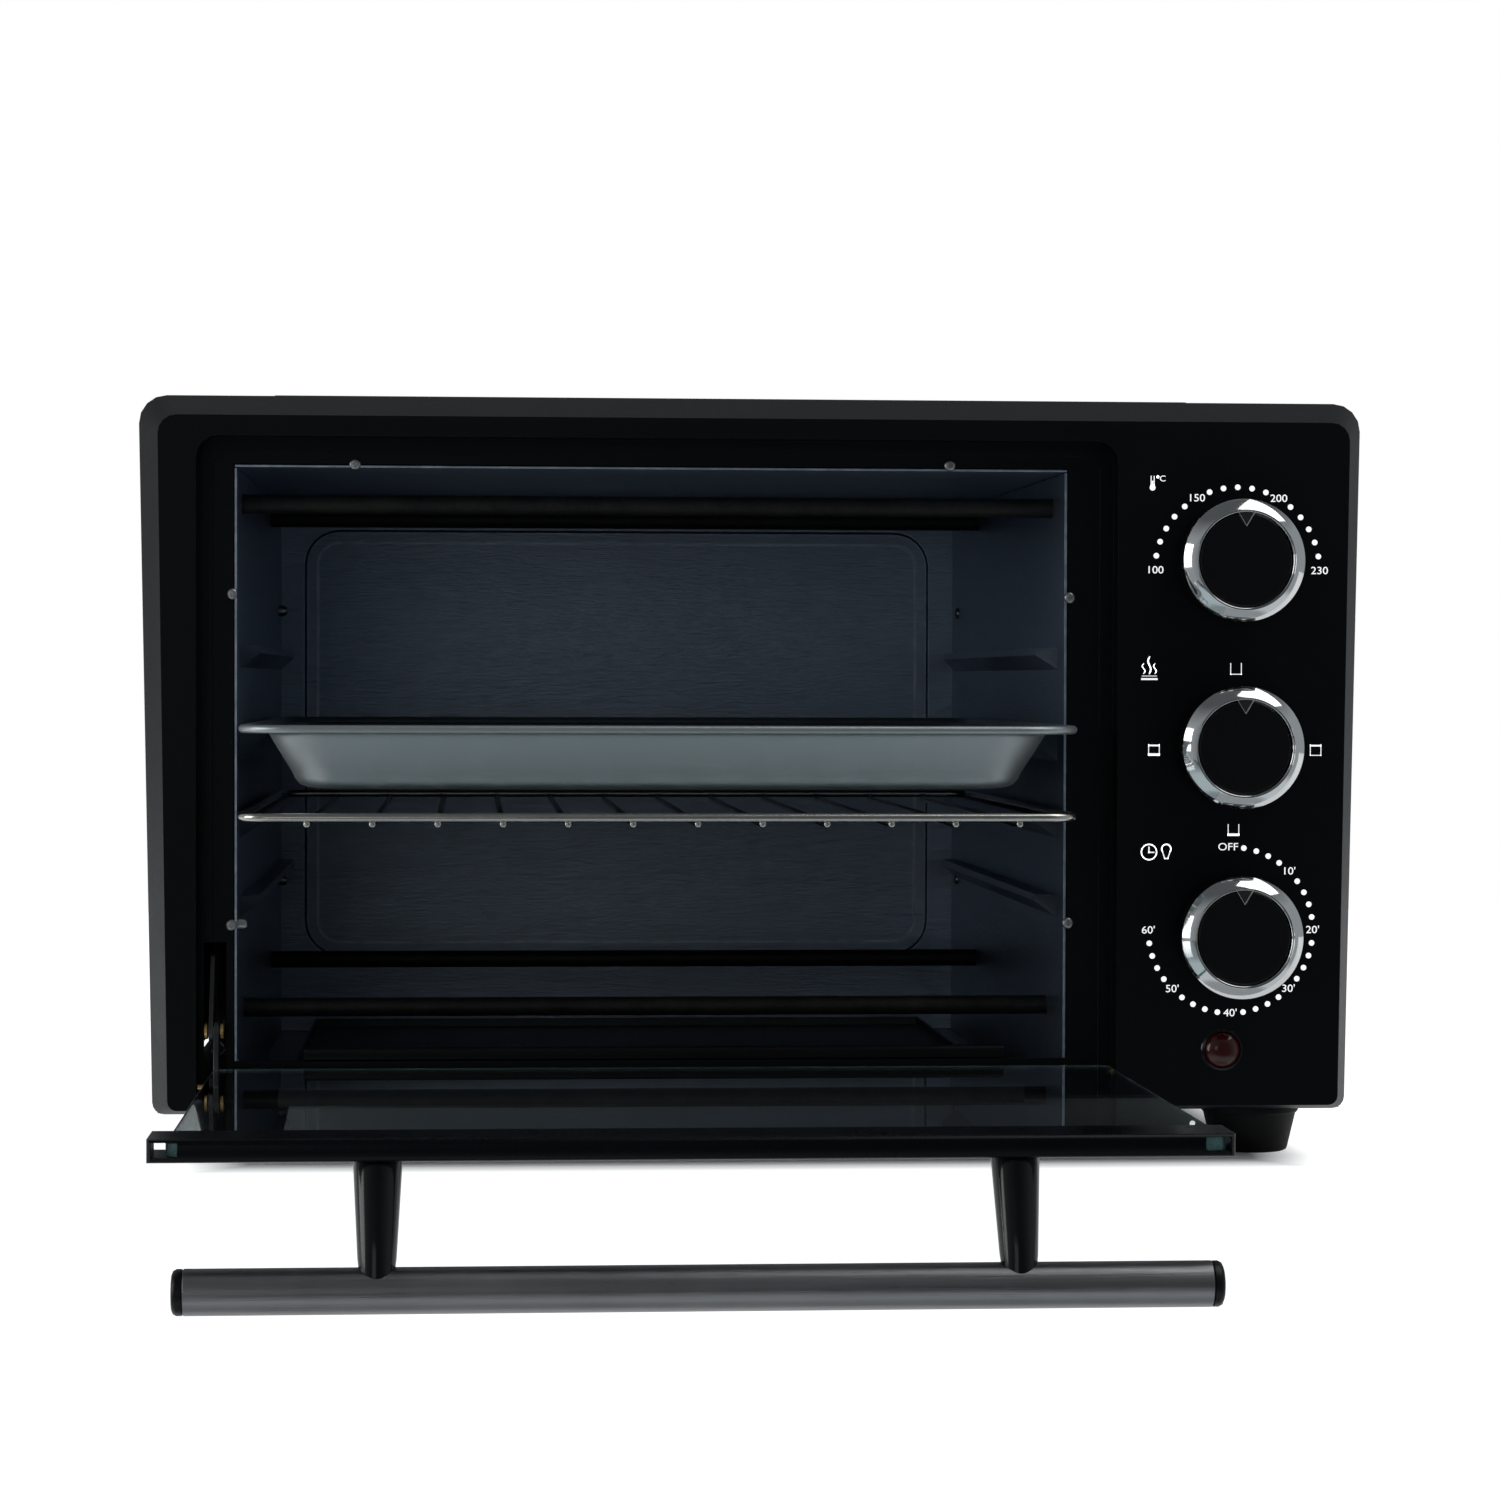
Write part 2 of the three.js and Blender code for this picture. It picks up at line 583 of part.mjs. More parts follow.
// The folded steel channel on the door's free edge. A window near each end shows the glass.
function topChannel() {
  const { left, right, z0, z1, rear, front } = channel;
  const wall = 1.3;
  const profile = rounded([[rear, z0], [rear, z1], [front, z1], [front, z0]], [0, 0, 1.6, 1.6], 3);
  const slot = block(left + wall, right - wall, front + wall, rear + 1, glass.z0 - gap, glass.z1 + gap);
  const ends = [[left - 1, left + 2], [right - 2, right + 1]].map(([x0, x1]) => (
    block(x0, x1, front + 12, rear + 1, glass.z0 - gap, glass.z1 + gap)
  ));
  const windows = [[left + wall, left + 8.4], [right - 8.4, right - wall]].map(([x0, x1]) => (
    block(x0, x1, front - 1, front + 2, glass.z0, glass.z1)
  ));
  const plan = alongZ(rectangle(left, right, front, rear, [channel.corner, channel.corner, 0, 0], 3), z0, z1);
  return alongX(profile, left, right).intersect(plan).subtract(join([slot, ...ends, ...windows]));
}
add('door_top_channel', topChannel(), 'blackPaint');

const rail = { left: -173.3, right: 112.6, y0: -20, y1: -3, z0: 25, z1: glass.z0 - gap };
function hingeRail() {
  const lug = { x0: 110.6, x1: rail.right, radius: 4 };
  const strip = block(rail.left, rail.right, rail.y0, rail.y1, rail.z0, rail.z1);
  const ear = join([
    pinX(lug.x0, lug.x1, pivot.y, pivot.z, lug.radius, 20),
    block(lug.x0, lug.x1, rail.y1 - 1, pivot.y, rail.z0, rail.z1 - gap),
  ]);
  return join([strip, ear]).subtract(pinX(lug.x0 - 1, lug.x1 + 1, pivot.y, pivot.z, pivot.pin + running));
}
add('door_hinge_rail', hingeRail(), 'blackPaint');

const lever = { x0: -175.2, x1: -173.6 };
const link = { x0: -176.9, x1: -175.5 };
function hingeLever() {
  const { x0, x1 } = lever;
  const arm = Manifold.hull([
    pinX(x0, x1, pivot.y, pivot.z, 4, 20),
    pinX(x0, x1, rivet.y, rivet.z, 3.6, 20),
  ]);
  const toe = block(x0, x1, rail.y0, pivot.y, rail.z0, rail.z1 - gap);
  return join([arm, toe]).subtract(join([
    pinX(x0 - 1, x1 + 1, pivot.y, pivot.z, pivot.pin + running),
    pinX(x0 - 1, x1 + 1, rivet.y, rivet.z, rivet.radius + running),
  ]));
}
function stayLink() {
  const { x0, x1 } = link;
  const plate = Manifold.hull([
    pinX(x0, x1, rivet.y, rivet.z, 3.6, 20),
    pinX(x0, x1, stay.endY, stay.endZ, 2.8, 20),
  ]);
  return plate.subtract(join([
    pinX(x0 - 1, x1 + 1, rivet.y, rivet.z, rivet.radius + running),
    pinX(x0 - 1, x1 + 1, stay.endY, stay.endZ, 1.2, 10),
  ]));
}
function stayRivet() {
  return join([
    pinX(link.x0 - gap - 1.2, link.x0 - gap, rivet.y, rivet.z, 2.9, 16),
    pinX(link.x0 - gap - 1, lever.x1 + gap + 1, rivet.y, rivet.z, rivet.radius, 16),
    pinX(lever.x1 + gap, lever.x1 + gap + 1.2, rivet.y, rivet.z, 2.9, 16),
  ]);
}
add('door_hinge_lever', hingeLever(), 'plate');
add('door_stay_link', stayLink(), 'plate');
add('door_stay_rivet', stayRivet(), 'brass');
add('left_hinge_pin', pinX(nest.left + gap, lever.x1 + 1, pivot.y, pivot.z, pivot.pin), 'brass');
add('right_hinge_pin', pinX(rail.right - 3.2, nest.right - gap, pivot.y, pivot.z, pivot.pin), 'brass');
add('door_spring', pinY(spring.y0, spring.y1, spring.x, spring.z, spring.radius, 12), 'plate');

for (const place of ['left', 'right']) {
  const x = posts[place];
  const root = alongZ(circle(x, posts.rootY, posts.rootRadius), channel.z0 - gap - 1, channel.z0 - gap);
  const tip = alongZ(circle(x, bar.y, posts.tipRadius), bar.z, bar.z + 1);
  const seat = pinX(x - 10, x + 10, bar.y, bar.z, bar.radius + gap, 24);
  const under = block(x - 10, x + 10, bar.y - 15, bar.y + 15, bar.z - 5, bar.z + 2);
  add(`${place}_handle_post`, Manifold.hull([root, tip]).subtract(join([seat, under])), 'plastic');
}
add('handle_bar', pinX(
  bar.left + bar.cap + gap, bar.right - bar.cap - gap, bar.y, bar.z, bar.radius, 24,
), 'brushed');
for (const [place, inner, outer] of [
  ['left', bar.left + bar.cap, bar.left],
  ['right', bar.right - bar.cap, bar.right],
]) {
  const [a, b] = [Math.min(inner, outer), Math.max(inner, outer)];
  const edge = outer < inner ? [a + 1, b] : [a, b - 1];
  add(`${place}_handle_cap`, Manifold.hull([
    pinX(a, b, bar.y, bar.z, bar.radius - 1, 24),
    pinX(...edge, bar.y, bar.z, bar.radius, 24),
  ]), 'plastic');
}

// The part's origin is under the middle of its bounding box, at the height of the handle,
// which hangs lowest while the door is open.
const deepest = casing.y1 + 9.3;
assembly.position.set(0, -(bar.y - bar.radius + deepest) / 2, bar.radius - bar.z);

export default assembly;
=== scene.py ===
import json
import math

import bmesh
import bpy
from mathutils import Matrix, Vector

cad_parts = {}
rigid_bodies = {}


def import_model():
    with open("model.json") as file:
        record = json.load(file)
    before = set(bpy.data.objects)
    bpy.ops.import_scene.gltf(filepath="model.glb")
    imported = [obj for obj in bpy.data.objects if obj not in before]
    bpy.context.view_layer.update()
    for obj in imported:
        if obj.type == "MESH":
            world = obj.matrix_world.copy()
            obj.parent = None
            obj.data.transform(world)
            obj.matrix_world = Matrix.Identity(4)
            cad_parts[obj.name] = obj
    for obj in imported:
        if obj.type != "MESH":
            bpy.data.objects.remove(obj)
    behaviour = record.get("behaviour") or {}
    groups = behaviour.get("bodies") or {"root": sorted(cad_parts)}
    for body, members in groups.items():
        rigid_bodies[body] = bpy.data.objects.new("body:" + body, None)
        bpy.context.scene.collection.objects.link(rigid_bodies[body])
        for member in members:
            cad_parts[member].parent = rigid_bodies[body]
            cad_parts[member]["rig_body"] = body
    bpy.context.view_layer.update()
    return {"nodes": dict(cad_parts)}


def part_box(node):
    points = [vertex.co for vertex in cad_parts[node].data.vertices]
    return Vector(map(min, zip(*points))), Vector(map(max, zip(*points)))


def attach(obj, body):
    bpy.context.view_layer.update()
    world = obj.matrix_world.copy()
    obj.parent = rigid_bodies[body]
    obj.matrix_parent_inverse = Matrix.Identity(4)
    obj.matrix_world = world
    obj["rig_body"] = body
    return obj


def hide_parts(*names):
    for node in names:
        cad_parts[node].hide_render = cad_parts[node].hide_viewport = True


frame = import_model()
scene = bpy.context.scene
print("packed parts loaded")

# The oven's own frame in millimetres: X right, Y into the oven from its front face,
# Z up from the underside of its feet.
mm = 0.001
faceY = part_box("front_bezel")[0].y
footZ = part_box("front_left_foot")[0].z
ovenFrame = Matrix.Translation((0, faceY, footZ)) @ Matrix.Scale(mm, 4)

# camera: its place in the oven's frame, its angles in radians, and its lens in millimetres

camera = {"place": (-93.34, -1253.56, 156.31), "yaw": 0.07187, "pitch": 0.01738, "roll": 0.00246,
          "lens": 93.4, "sensor": 36, "near": 0.05, "far": 30}


def makeCamera():
    lens = bpy.data.cameras.new("camera")
    lens.lens = camera["lens"]
    lens.sensor_width = camera["sensor"]
    lens.clip_start, lens.clip_end = camera["near"], camera["far"]
    yaw, pitch, roll = camera["yaw"], camera["pitch"], camera["roll"]
    level = math.cos(pitch)
    ahead = Vector((math.sin(yaw) * level, math.cos(yaw) * level, -math.sin(pitch)))
    right = Vector((math.cos(yaw), -math.sin(yaw), 0))
    up = right.cross(ahead)
    tilt = Matrix.Rotation(roll, 3, -ahead)
    turned = Matrix((tilt @ right, tilt @ up, -ahead)).transposed()
    eye = bpy.data.objects.new("camera", lens)
    eye.matrix_world = Matrix.Translation(ovenFrame @ Vector(camera["place"])) @ turned.to_4x4()
    scene.collection.objects.link(eye)
    scene.camera = eye


makeCamera()
print("camera set")

# shader node groups


def newGroup(name, inputs, outputs):
    group = bpy.data.node_groups.new(name, "ShaderNodeTree")
    for label, kind, value in inputs:
        socket = group.interface.new_socket(label, in_out="INPUT", socket_type=kind)
        socket.default_value = value
    for label, kind in outputs:
        group.interface.new_socket(label, in_out="OUTPUT", socket_type=kind)
    return group, group.nodes.new("NodeGroupInput"), group.nodes.new("NodeGroupOutput")


def feed(tree, socket, value):
    if isinstance(value, bpy.types.NodeSocket):
        tree.links.new(value, socket)
    else:
        socket.default_value = value


def mathNode(tree, operation, first, second=None, clamp=False):
    node = tree.nodes.new("ShaderNodeMath")
    node.operation, node.use_clamp = operation, clamp
    feed(tree, node.inputs[0], first)
    if second is not None:
        feed(tree, node.inputs[1], second)
    return node.outputs[0]


def rangeNode(tree, value, fromLow, fromHigh, toLow, toHigh):
    node = tree.nodes.new("ShaderNodeMapRange")
    for index, item in enumerate((value, fromLow, fromHigh, toLow, toHigh)):
        feed(tree, node.inputs[index], item)
    return node.outputs[0]


def noiseNode(tree, place, scale, detail, roughness=0.5):
    node = tree.nodes.new("ShaderNodeTexNoise")
    tree.links.new(place, node.inputs["Vector"])
    for label, item in (("Scale", scale), ("Detail", detail), ("Roughness", roughness)):
        feed(tree, node.inputs[label], item)
    return node.outputs[0]


def stretched(tree, stretch):
    place = tree.nodes.new("ShaderNodeTexCoord").outputs["Object"]
    node = tree.nodes.new("ShaderNodeVectorMath")
    node.operation = "MULTIPLY"
    tree.links.new(place, node.inputs[0])
    tree.links.new(stretch, node.inputs[1])
    return node.outputs[0]


def weighed(tree, first, second, share):
    rest = mathNode(tree, "MULTIPLY", second, 1 - share)
    return mathNode(tree, "ADD", mathNode(tree, "MULTIPLY", first, share), rest)


def makeMottling():  # soft uneven patches, for colour and sheen
    group, given, made = newGroup(
        "mottling", [("Scale", "NodeSocketFloat", 40), ("Contrast", "NodeSocketFloat", 1)],
        [("Value", "NodeSocketFloat")])
    place = group.nodes.new("ShaderNodeTexCoord").outputs["Object"]
    broad = noiseNode(group, place, given.outputs["Scale"], 4, 0.6)
    fine = noiseNode(group, place, mathNode(group, "MULTIPLY", given.outputs["Scale"], 7.3), 3)
    mixed = weighed(group, broad, fine, 0.7)
    away = mathNode(group, "MULTIPLY", mathNode(group, "SUBTRACT", mixed, 0.5), given.outputs["Contrast"])
    group.links.new(mathNode(group, "ADD", away, 0.5, clamp=True), made.inputs["Value"])
    return group


def makeGrain():  # fine lines or a pebble, drawn out along the axis whose stretch is small
    group, given, made = newGroup(
        "grain", [("Stretch", "NodeSocketVector", (1, 1, 1)), ("Scale", "NodeSocketFloat", 900)],
        [("Value", "NodeSocketFloat")])
    place = stretched(group, given.outputs["Stretch"])
    fine = noiseNode(group, place, given.outputs["Scale"], 3, 0.7)
    coarse = noiseNode(group, place, mathNode(group, "MULTIPLY", given.outputs["Scale"], 0.23), 2)
    mixed = weighed(group, fine, coarse, 0.65)
    group.links.new(rangeNode(group, mixed, 0.3, 0.7, 0.0, 1.0), made.inputs["Value"])
    return group


def makeEdgeWearAndHighlight():  # where corners are rubbed, and on the cavity liners a painted highlight along the edges and the back panel's bead; broken up so that it's never an even line
    group, given, made = newGroup(
        "edgeWearAndHighlight", [("Radius", "NodeSocketFloat", 0.0008), ("Amount", "NodeSocketFloat", 0.5),
                     ("Start", "NodeSocketFloat", 0.45)],
        [("Mask", "NodeSocketFloat")])
    rounded = group.nodes.new("ShaderNodeBevel")
    rounded.samples = 4
    group.links.new(given.outputs["Radius"], rounded.inputs["Radius"])
    facing = group.nodes.new("ShaderNodeNewGeometry")
    dot = group.nodes.new("ShaderNodeVectorMath")
    dot.operation = "DOT_PRODUCT"
    group.links.new(rounded.outputs[0], dot.inputs[0])
    group.links.new(facing.outputs["Normal"], dot.inputs[1])
    edge = rangeNode(group, dot.outputs["Value"], 0.99, 0.82, 0.0, 1.0)
    place = group.nodes.new("ShaderNodeTexCoord").outputs["Object"]
    broken = noiseNode(group, place, 160, 5, 0.65)
    patches = rangeNode(group, broken, given.outputs["Start"], 0.62, 0.0, 1.0)
    rubbedAndLit = mathNode(group, "MULTIPLY", edge, patches)
    mask = mathNode(group, "MULTIPLY", rubbedAndLit, given.outputs["Amount"], clamp=True)
    group.links.new(mask, made.inputs["Mask"])
    return group


def makeDust():  # a thin film on what faces up
    group, given, made = newGroup(
        "dust", [("Amount", "NodeSocketFloat", 0.1)], [("Mask", "NodeSocketFloat")])
    facing = group.nodes.new("ShaderNodeNewGeometry")
    split = group.nodes.new("ShaderNodeSeparateXYZ")
    group.links.new(facing.outputs["Normal"], split.inputs[0])
    upward = rangeNode(group, split.outputs["Z"], 0.35, 1.0, 0.0, 1.0)
    place = group.nodes.new("ShaderNodeTexCoord").outputs["Object"]
    specks = rangeNode(group, noiseNode(group, place, 420, 6, 0.75), 0.4, 0.75, 0.25, 1.0)
    film = mathNode(group, "MULTIPLY", upward, specks)
    mask = mathNode(group, "MULTIPLY", film, given.outputs["Amount"], clamp=True)
    group.links.new(mask, made.inputs["Mask"])
    return group


mottling, grain, edgeWearAndHighlight, dust = makeMottling(), makeGrain(), makeEdgeWearAndHighlight(), makeDust()

# finishes

plainFinish = {"tint": None, "metallic": 0.0, "rough": (0.4, 0.5), "patch": 30, "contrast": 1.6,
               "stretch": (1, 1, 1), "lines": 900, "bump": 0.0, "wear": 0.0, "wearAndHighlightRadius": 0.0008,
               "wearAndHighlightStart": 0.45, "wornAndHighlightColour": (0.2, 0.2, 0.2), "dust": 0.0, "sockets": {}}
dustColour = (0.55, 0.53, 0.5)
finishSpecs = {
    "bezelBlack": {"colour": (0.0012, 0.0021, 0.0034), "tint": (0.0024, 0.0037, 0.0055),
                   "rough": (0.36, 0.46), "patch": 14, "lines": 2600, "bump": 0.00002, "wear": 0.25,
                   "wornAndHighlightColour": (0.012, 0.013, 0.016), "dust": 0.003,
                   "sockets": {"Specular IOR Level": 0.16}},
    "casingBlack": {"colour": (0.004, 0.0046, 0.006), "tint": (0.008, 0.009, 0.011),
                    "rough": (0.42, 0.55), "patch": 9, "lines": 1500, "bump": 0.00005, "wear": 0.4,
                    "wornAndHighlightColour": (0.03, 0.03, 0.035), "dust": 0.012,
                    "sockets": {"Specular IOR Level": 0.3}},
    # the liner's lighter edges (the wear entries below) are a painted highlight, not wear
    "linerSteel": {"colour": (0.3, 0.37, 0.47), "tint": (0.42, 0.5, 0.62), "metallic": 1.0,
                   "rough": (0.3, 0.44), "patch": 22, "contrast": 1.3, "stretch": (0.1, 0.1, 1),
                   "lines": 1300, "bump": 0.00005, "wear": 0.9, "wearAndHighlightRadius": 0.0009,
                   "wornAndHighlightColour": (0.82, 0.88, 0.95)},
    # the lighter edges and bead of the back panel (the wear entries below) are a painted highlight, nearly
    # unbroken, not wear
    "backSteel": {"colour": (0.3, 0.36, 0.45), "tint": (0.42, 0.49, 0.6), "metallic": 1.0,
                  "rough": (0.3, 0.44), "patch": 22, "contrast": 1.3, "stretch": (0.1, 0.1, 1),
                  "lines": 1500, "bump": 0.00016, "wear": 1.0, "wearAndHighlightRadius": 0.0013, "wearAndHighlightStart": 0.15,
                  "wornAndHighlightColour": (0.85, 0.91, 0.98)},
    "silverLine": {"colour": (0.5, 0.5, 0.48), "tint": (0.62, 0.62, 0.6), "metallic": 0.2,
                   "rough": (0.25, 0.35), "patch": 200},
    "hingeSteel": {"colour": (0.05, 0.052, 0.058), "tint": (0.12, 0.12, 0.125), "metallic": 1.0,
                   "rough": (0.3, 0.5), "patch": 60, "lines": 900, "bump": 0.00003, "wear": 0.5,
                   "wornAndHighlightColour": (0.4, 0.4, 0.4)},
    "zincSheet": {"colour": (0.36, 0.37, 0.39), "tint": (0.5, 0.5, 0.49), "metallic": 1.0,
                  "rough": (0.28, 0.45), "patch": 60, "stretch": (1, 0.2, 1), "lines": 900,
                  "bump": 0.00002, "wear": 0.4, "wornAndHighlightColour": (0.7, 0.7, 0.7)},
    "trayMetal": {"colour": (0.38, 0.42, 0.44), "tint": (0.46, 0.5, 0.52), "metallic": 0.85,
                  "rough": (0.36, 0.46), "patch": 16, "contrast": 1.2, "lines": 2600, "bump": 0.00003,
                  "wear": 0.4, "wornAndHighlightColour": (0.65, 0.67, 0.68)},
    "darkTray": {"colour": (0.06, 0.065, 0.07), "tint": (0.1, 0.105, 0.11), "metallic": 0.9,
                 "rough": (0.35, 0.5), "patch": 30, "lines": 1800, "bump": 0.00002, "wear": 0.4,
                 "wornAndHighlightColour": (0.3, 0.3, 0.3)},
    "nickelWire": {"colour": (0.52, 0.5, 0.46), "tint": (0.66, 0.64, 0.6), "metallic": 1.0,
                   "rough": (0.16, 0.26), "patch": 70, "lines": 700, "bump": 0.00001},
    "brushedSteel": {"colour": (0.24, 0.24, 0.25), "tint": (0.33, 0.325, 0.33), "metallic": 1.0,
                     "rough": (0.24, 0.42), "patch": 12, "stretch": (0.012, 1, 1), "lines": 2600,
                     "bump": 0.00004, "wear": 0.2, "wornAndHighlightColour": (0.6, 0.6, 0.6)},
    "chrome": {"colour": (0.68, 0.69, 0.7), "tint": (0.76, 0.77, 0.77), "metallic": 1.0,
               "rough": (0.05, 0.1), "patch": 60, "lines": 800, "bump": 0.000002},
    "glossPlastic": {"colour": (0.002, 0.0021, 0.0028), "tint": (0.004, 0.0042, 0.005),
                     "rough": (0.08, 0.16), "patch": 40, "lines": 2200, "bump": 0.000006, "wear": 0.15,
                     "wornAndHighlightColour": (0.02, 0.02, 0.02), "dust": 0.003,
                     "sockets": {"Specular IOR Level": 0.4}},
    "satinPlastic": {"colour": (0.002, 0.0022, 0.003), "tint": (0.004, 0.0044, 0.0055),
                     "rough": (0.3, 0.4), "patch": 40, "lines": 3000, "bump": 0.00001, "dust": 0.003,
                     "sockets": {"Specular IOR Level": 0.25}},
    "channelBlack": {"colour": (0.0012, 0.0016, 0.0026), "tint": (0.0025, 0.0032, 0.0045),
                     "rough": (0.24, 0.34), "patch": 30, "lines": 2400, "bump": 0.00001, "wear": 0.3,
                     "wornAndHighlightColour": (0.02, 0.024, 0.03), "sockets": {"Specular IOR Level": 0.16}},
    "doorGlass": {"colour": (0.8, 0.9, 0.9), "tint": (0.84, 0.93, 0.93), "rough": (0.0, 0.015),
                  "patch": 8, "sockets": {"Transmission Weight": 1.0, "IOR": 1.52}},
    "glassEdge": {"colour": (0.16, 0.36, 0.36), "tint": (0.25, 0.5, 0.5), "rough": (0.2, 0.3),
                  "patch": 60, "sockets": {"Transmission Weight": 0.6, "IOR": 1.5}},
    "redLens": {"colour": (0.045, 0.003, 0.002), "tint": (0.08, 0.006, 0.004), "rough": (0.08, 0.16),
                "patch": 200, "sockets": {"Transmission Weight": 0.2, "IOR": 1.49}},
    "rodSheath": {"colour": (0.012, 0.012, 0.012), "tint": (0.045, 0.042, 0.038), "metallic": 0.6,
                  "rough": (0.42, 0.62), "patch": 120, "contrast": 2.2, "lines": 1500, "bump": 0.00004},
    "ceramic": {"colour": (0.62, 0.6, 0.55), "tint": (0.74, 0.72, 0.68), "rough": (0.6, 0.75),
                "patch": 50, "lines": 1500, "bump": 0.00004},
    "brass": {"colour": (0.5, 0.33, 0.13), "tint": (0.66, 0.46, 0.2), "metallic": 1.0,
              "rough": (0.2, 0.36), "patch": 200, "bump": 0.00001},
    "footRubber": {"colour": (0.003, 0.003, 0.0034), "tint": (0.006, 0.006, 0.0066),
                   "rough": (0.5, 0.65), "patch": 60, "lines": 2400, "bump": 0.00003,
                   "sockets": {"Specular IOR Level": 0.15}},
    "cableSleeve": {"colour": (0.12, 0.035, 0.02), "tint": (0.2, 0.06, 0.035), "rough": (0.5, 0.65),
                    "patch": 90, "lines": 1800, "bump": 0.00004},
    # painted light: the white print also glows (Emission Strength 0.85), so it stays bright however it is
    # lit
    "glowingPrintWhite": {"colour": (0.8, 0.8, 0.8), "tint": (0.9, 0.9, 0.9), "rough": (0.45, 0.55),
                   "patch": 300,
                   "sockets": {"Emission Color": (1, 1, 1, 1), "Emission Strength": 0.85}},
    "darkRecess": {"colour": (0.02, 0.02, 0.02), "tint": (0.05, 0.05, 0.05), "metallic": 0.5,
                   "rough": (0.4, 0.5), "patch": 200},
}


def placeGroup(tree, group, **values):
    node = tree.nodes.new("ShaderNodeGroup")
    node.node_tree = group
    for label, value in values.items():
        node.inputs[label].default_value = value
    return node.outputs[0]


def mixColours(tree, mask, first, second):
    node = tree.nodes.new("ShaderNodeMix")
    node.data_type = "RGBA"
    tree.links.new(mask, node.inputs["Factor"])
    for index, value in ((6, first), (7, second)):
        feed(tree, node.inputs[index], (*value, 1) if isinstance(value, tuple) else value)
    return node.outputs[2]


def makeFinish(name):
    spec = {**plainFinish, **finishSpecs[name]}
    material = bpy.data.materials.new(name)
    material.use_nodes = True
    tree = material.node_tree
    shader = tree.nodes["Principled BSDF"]
    shader.inputs["Metallic"].default_value = spec["metallic"]
    for label, value in spec["sockets"].items():
        shader.inputs[label].default_value = value
    patches = placeGroup(tree, mottling, Scale=spec["patch"], Contrast=spec["contrast"])
    lines = placeGroup(tree, grain, Stretch=spec["stretch"], Scale=spec["lines"])
    colour = mixColours(tree, patches, spec["colour"], spec["tint"])
    # lighter edges: rubbed wear on most finishes, a painted highlight on the cavity liners
    if spec["wear"]:
        wornAndHighlight = placeGroup(tree, edgeWearAndHighlight, Radius=spec["wearAndHighlightRadius"], Amount=spec["wear"],
                          Start=spec["wearAndHighlightStart"])
        colour = mixColours(tree, wornAndHighlight, colour, spec["wornAndHighlightColour"])
    low, high = spec["rough"]
    blend = mathNode(tree, "MULTIPLY", mathNode(tree, "ADD", patches, lines), 0.5)
    roughness = rangeNode(tree, blend, 0.2, 0.8, low, high)
    if spec["dust"]:
        film = placeGroup(tree, dust, Amount=spec["dust"])
        colour = mixColours(tree, film, colour, dustColour)
        roughness = mathNode(tree, "ADD", roughness, film, clamp=True)
    tree.links.new(colour, shader.inputs["Base Color"])
    tree.links.new(roughness, shader.inputs["Roughness"])
    if spec["bump"]:
        bump = tree.nodes.new("ShaderNodeBump")
        bump.inputs["Distance"].default_value = spec["bump"]
        tree.links.new(lines, bump.inputs["Height"])
        tree.links.new(bump.outputs[0], shader.inputs["Normal"])
    return material


finishes = {name: makeFinish(name) for name in finishSpecs}
print("finishes made:", len(finishes))

# modelling helpers, all in the oven's frame


weld = 1e-4


def addPiece(name, bm, finish, body, stands=(), others=(), smooth=32, flatOver=1e6):
    bmesh.ops.recalc_face_normals(bm, faces=bm.faces)
    bm.transform(ovenFrame)
    mesh = bpy.data.meshes.new(name)
    bm.to_mesh(mesh)
    bm.free()
    mesh.set_sharp_from_angle(angle=math.radians(smooth))
    for polygon in mesh.polygons:
        polygon.use_smooth = polygon.area < flatOver * mm * mm  # big faces stay flat
    mesh.materials.append(finishes[finish])
    for other in others:
        mesh.materials.append(finishes[other])
    piece = bpy.data.objects.new(name, mesh)
    scene.collection.objects.link(piece)
    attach(piece, body)
    if stands:
        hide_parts(*stands)
    return piece


def bodyOf(node):
    return frame["nodes"][node]["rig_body"]


def bevelEdges(bm, edges, width, segments=3):
    bmesh.ops.bevel(bm, geom=edges, offset=width, offset_type="OFFSET", segments=segments, profile=0.5,
                    affect="EDGES", clamp_overlap=True, material=-1)


def sharpEdges(bm, angle=25):
    limit = math.radians(angle)
    return [edge for edge in bm.edges if len(edge.link_faces) == 2 and edge.calc_face_angle(0) > limit]


def vertsIn(items):
    return [item for item in items if isinstance(item, bmesh.types.BMVert)]


def edgesAmong(items, verts):
    ends = set(verts)
    return [item for item in items if isinstance(item, bmesh.types.BMEdge) and set(item.verts) <= ends]


def edgesRound(verts):
    return list({edge for vert in verts for edge in vert.link_edges})


def draw(bm, faces, way):  # faces drawn out into a solid, along a vector
    verts = vertsIn(bmesh.ops.extrude_face_region(bm, geom=faces)["geom"])
    bmesh.ops.translate(bm, vec=way, verts=verts)


def turn(bm, profile, centre, axis=(0, 1, 0), steps=64):  # profile of (radius, along) pairs
    axis, centre = Vector(axis), Vector(centre)
    side = Vector((0, 0, 1)) if axis.x else Vector((1, 0, 0))
    ring = profile[0] == profile[-1]
    points = profile[:-1] if ring else profile
    verts = [bm.verts.new(centre + side * radius + axis * along) for radius, along in points]
    edges = [bm.edges.new(pair) for pair in zip(verts, verts[1:])]
    if ring:
        edges.append(bm.edges.new((verts[-1], verts[0])))
    bmesh.ops.spin(bm, geom=verts + edges, cent=centre, axis=axis, dvec=(0, 0, 0), angle=2 * math.pi,
                   steps=steps, use_merge=True, use_normal_flip=False, use_duplicate=False)
    bmesh.ops.remove_doubles(bm, verts=bm.verts, dist=weld)


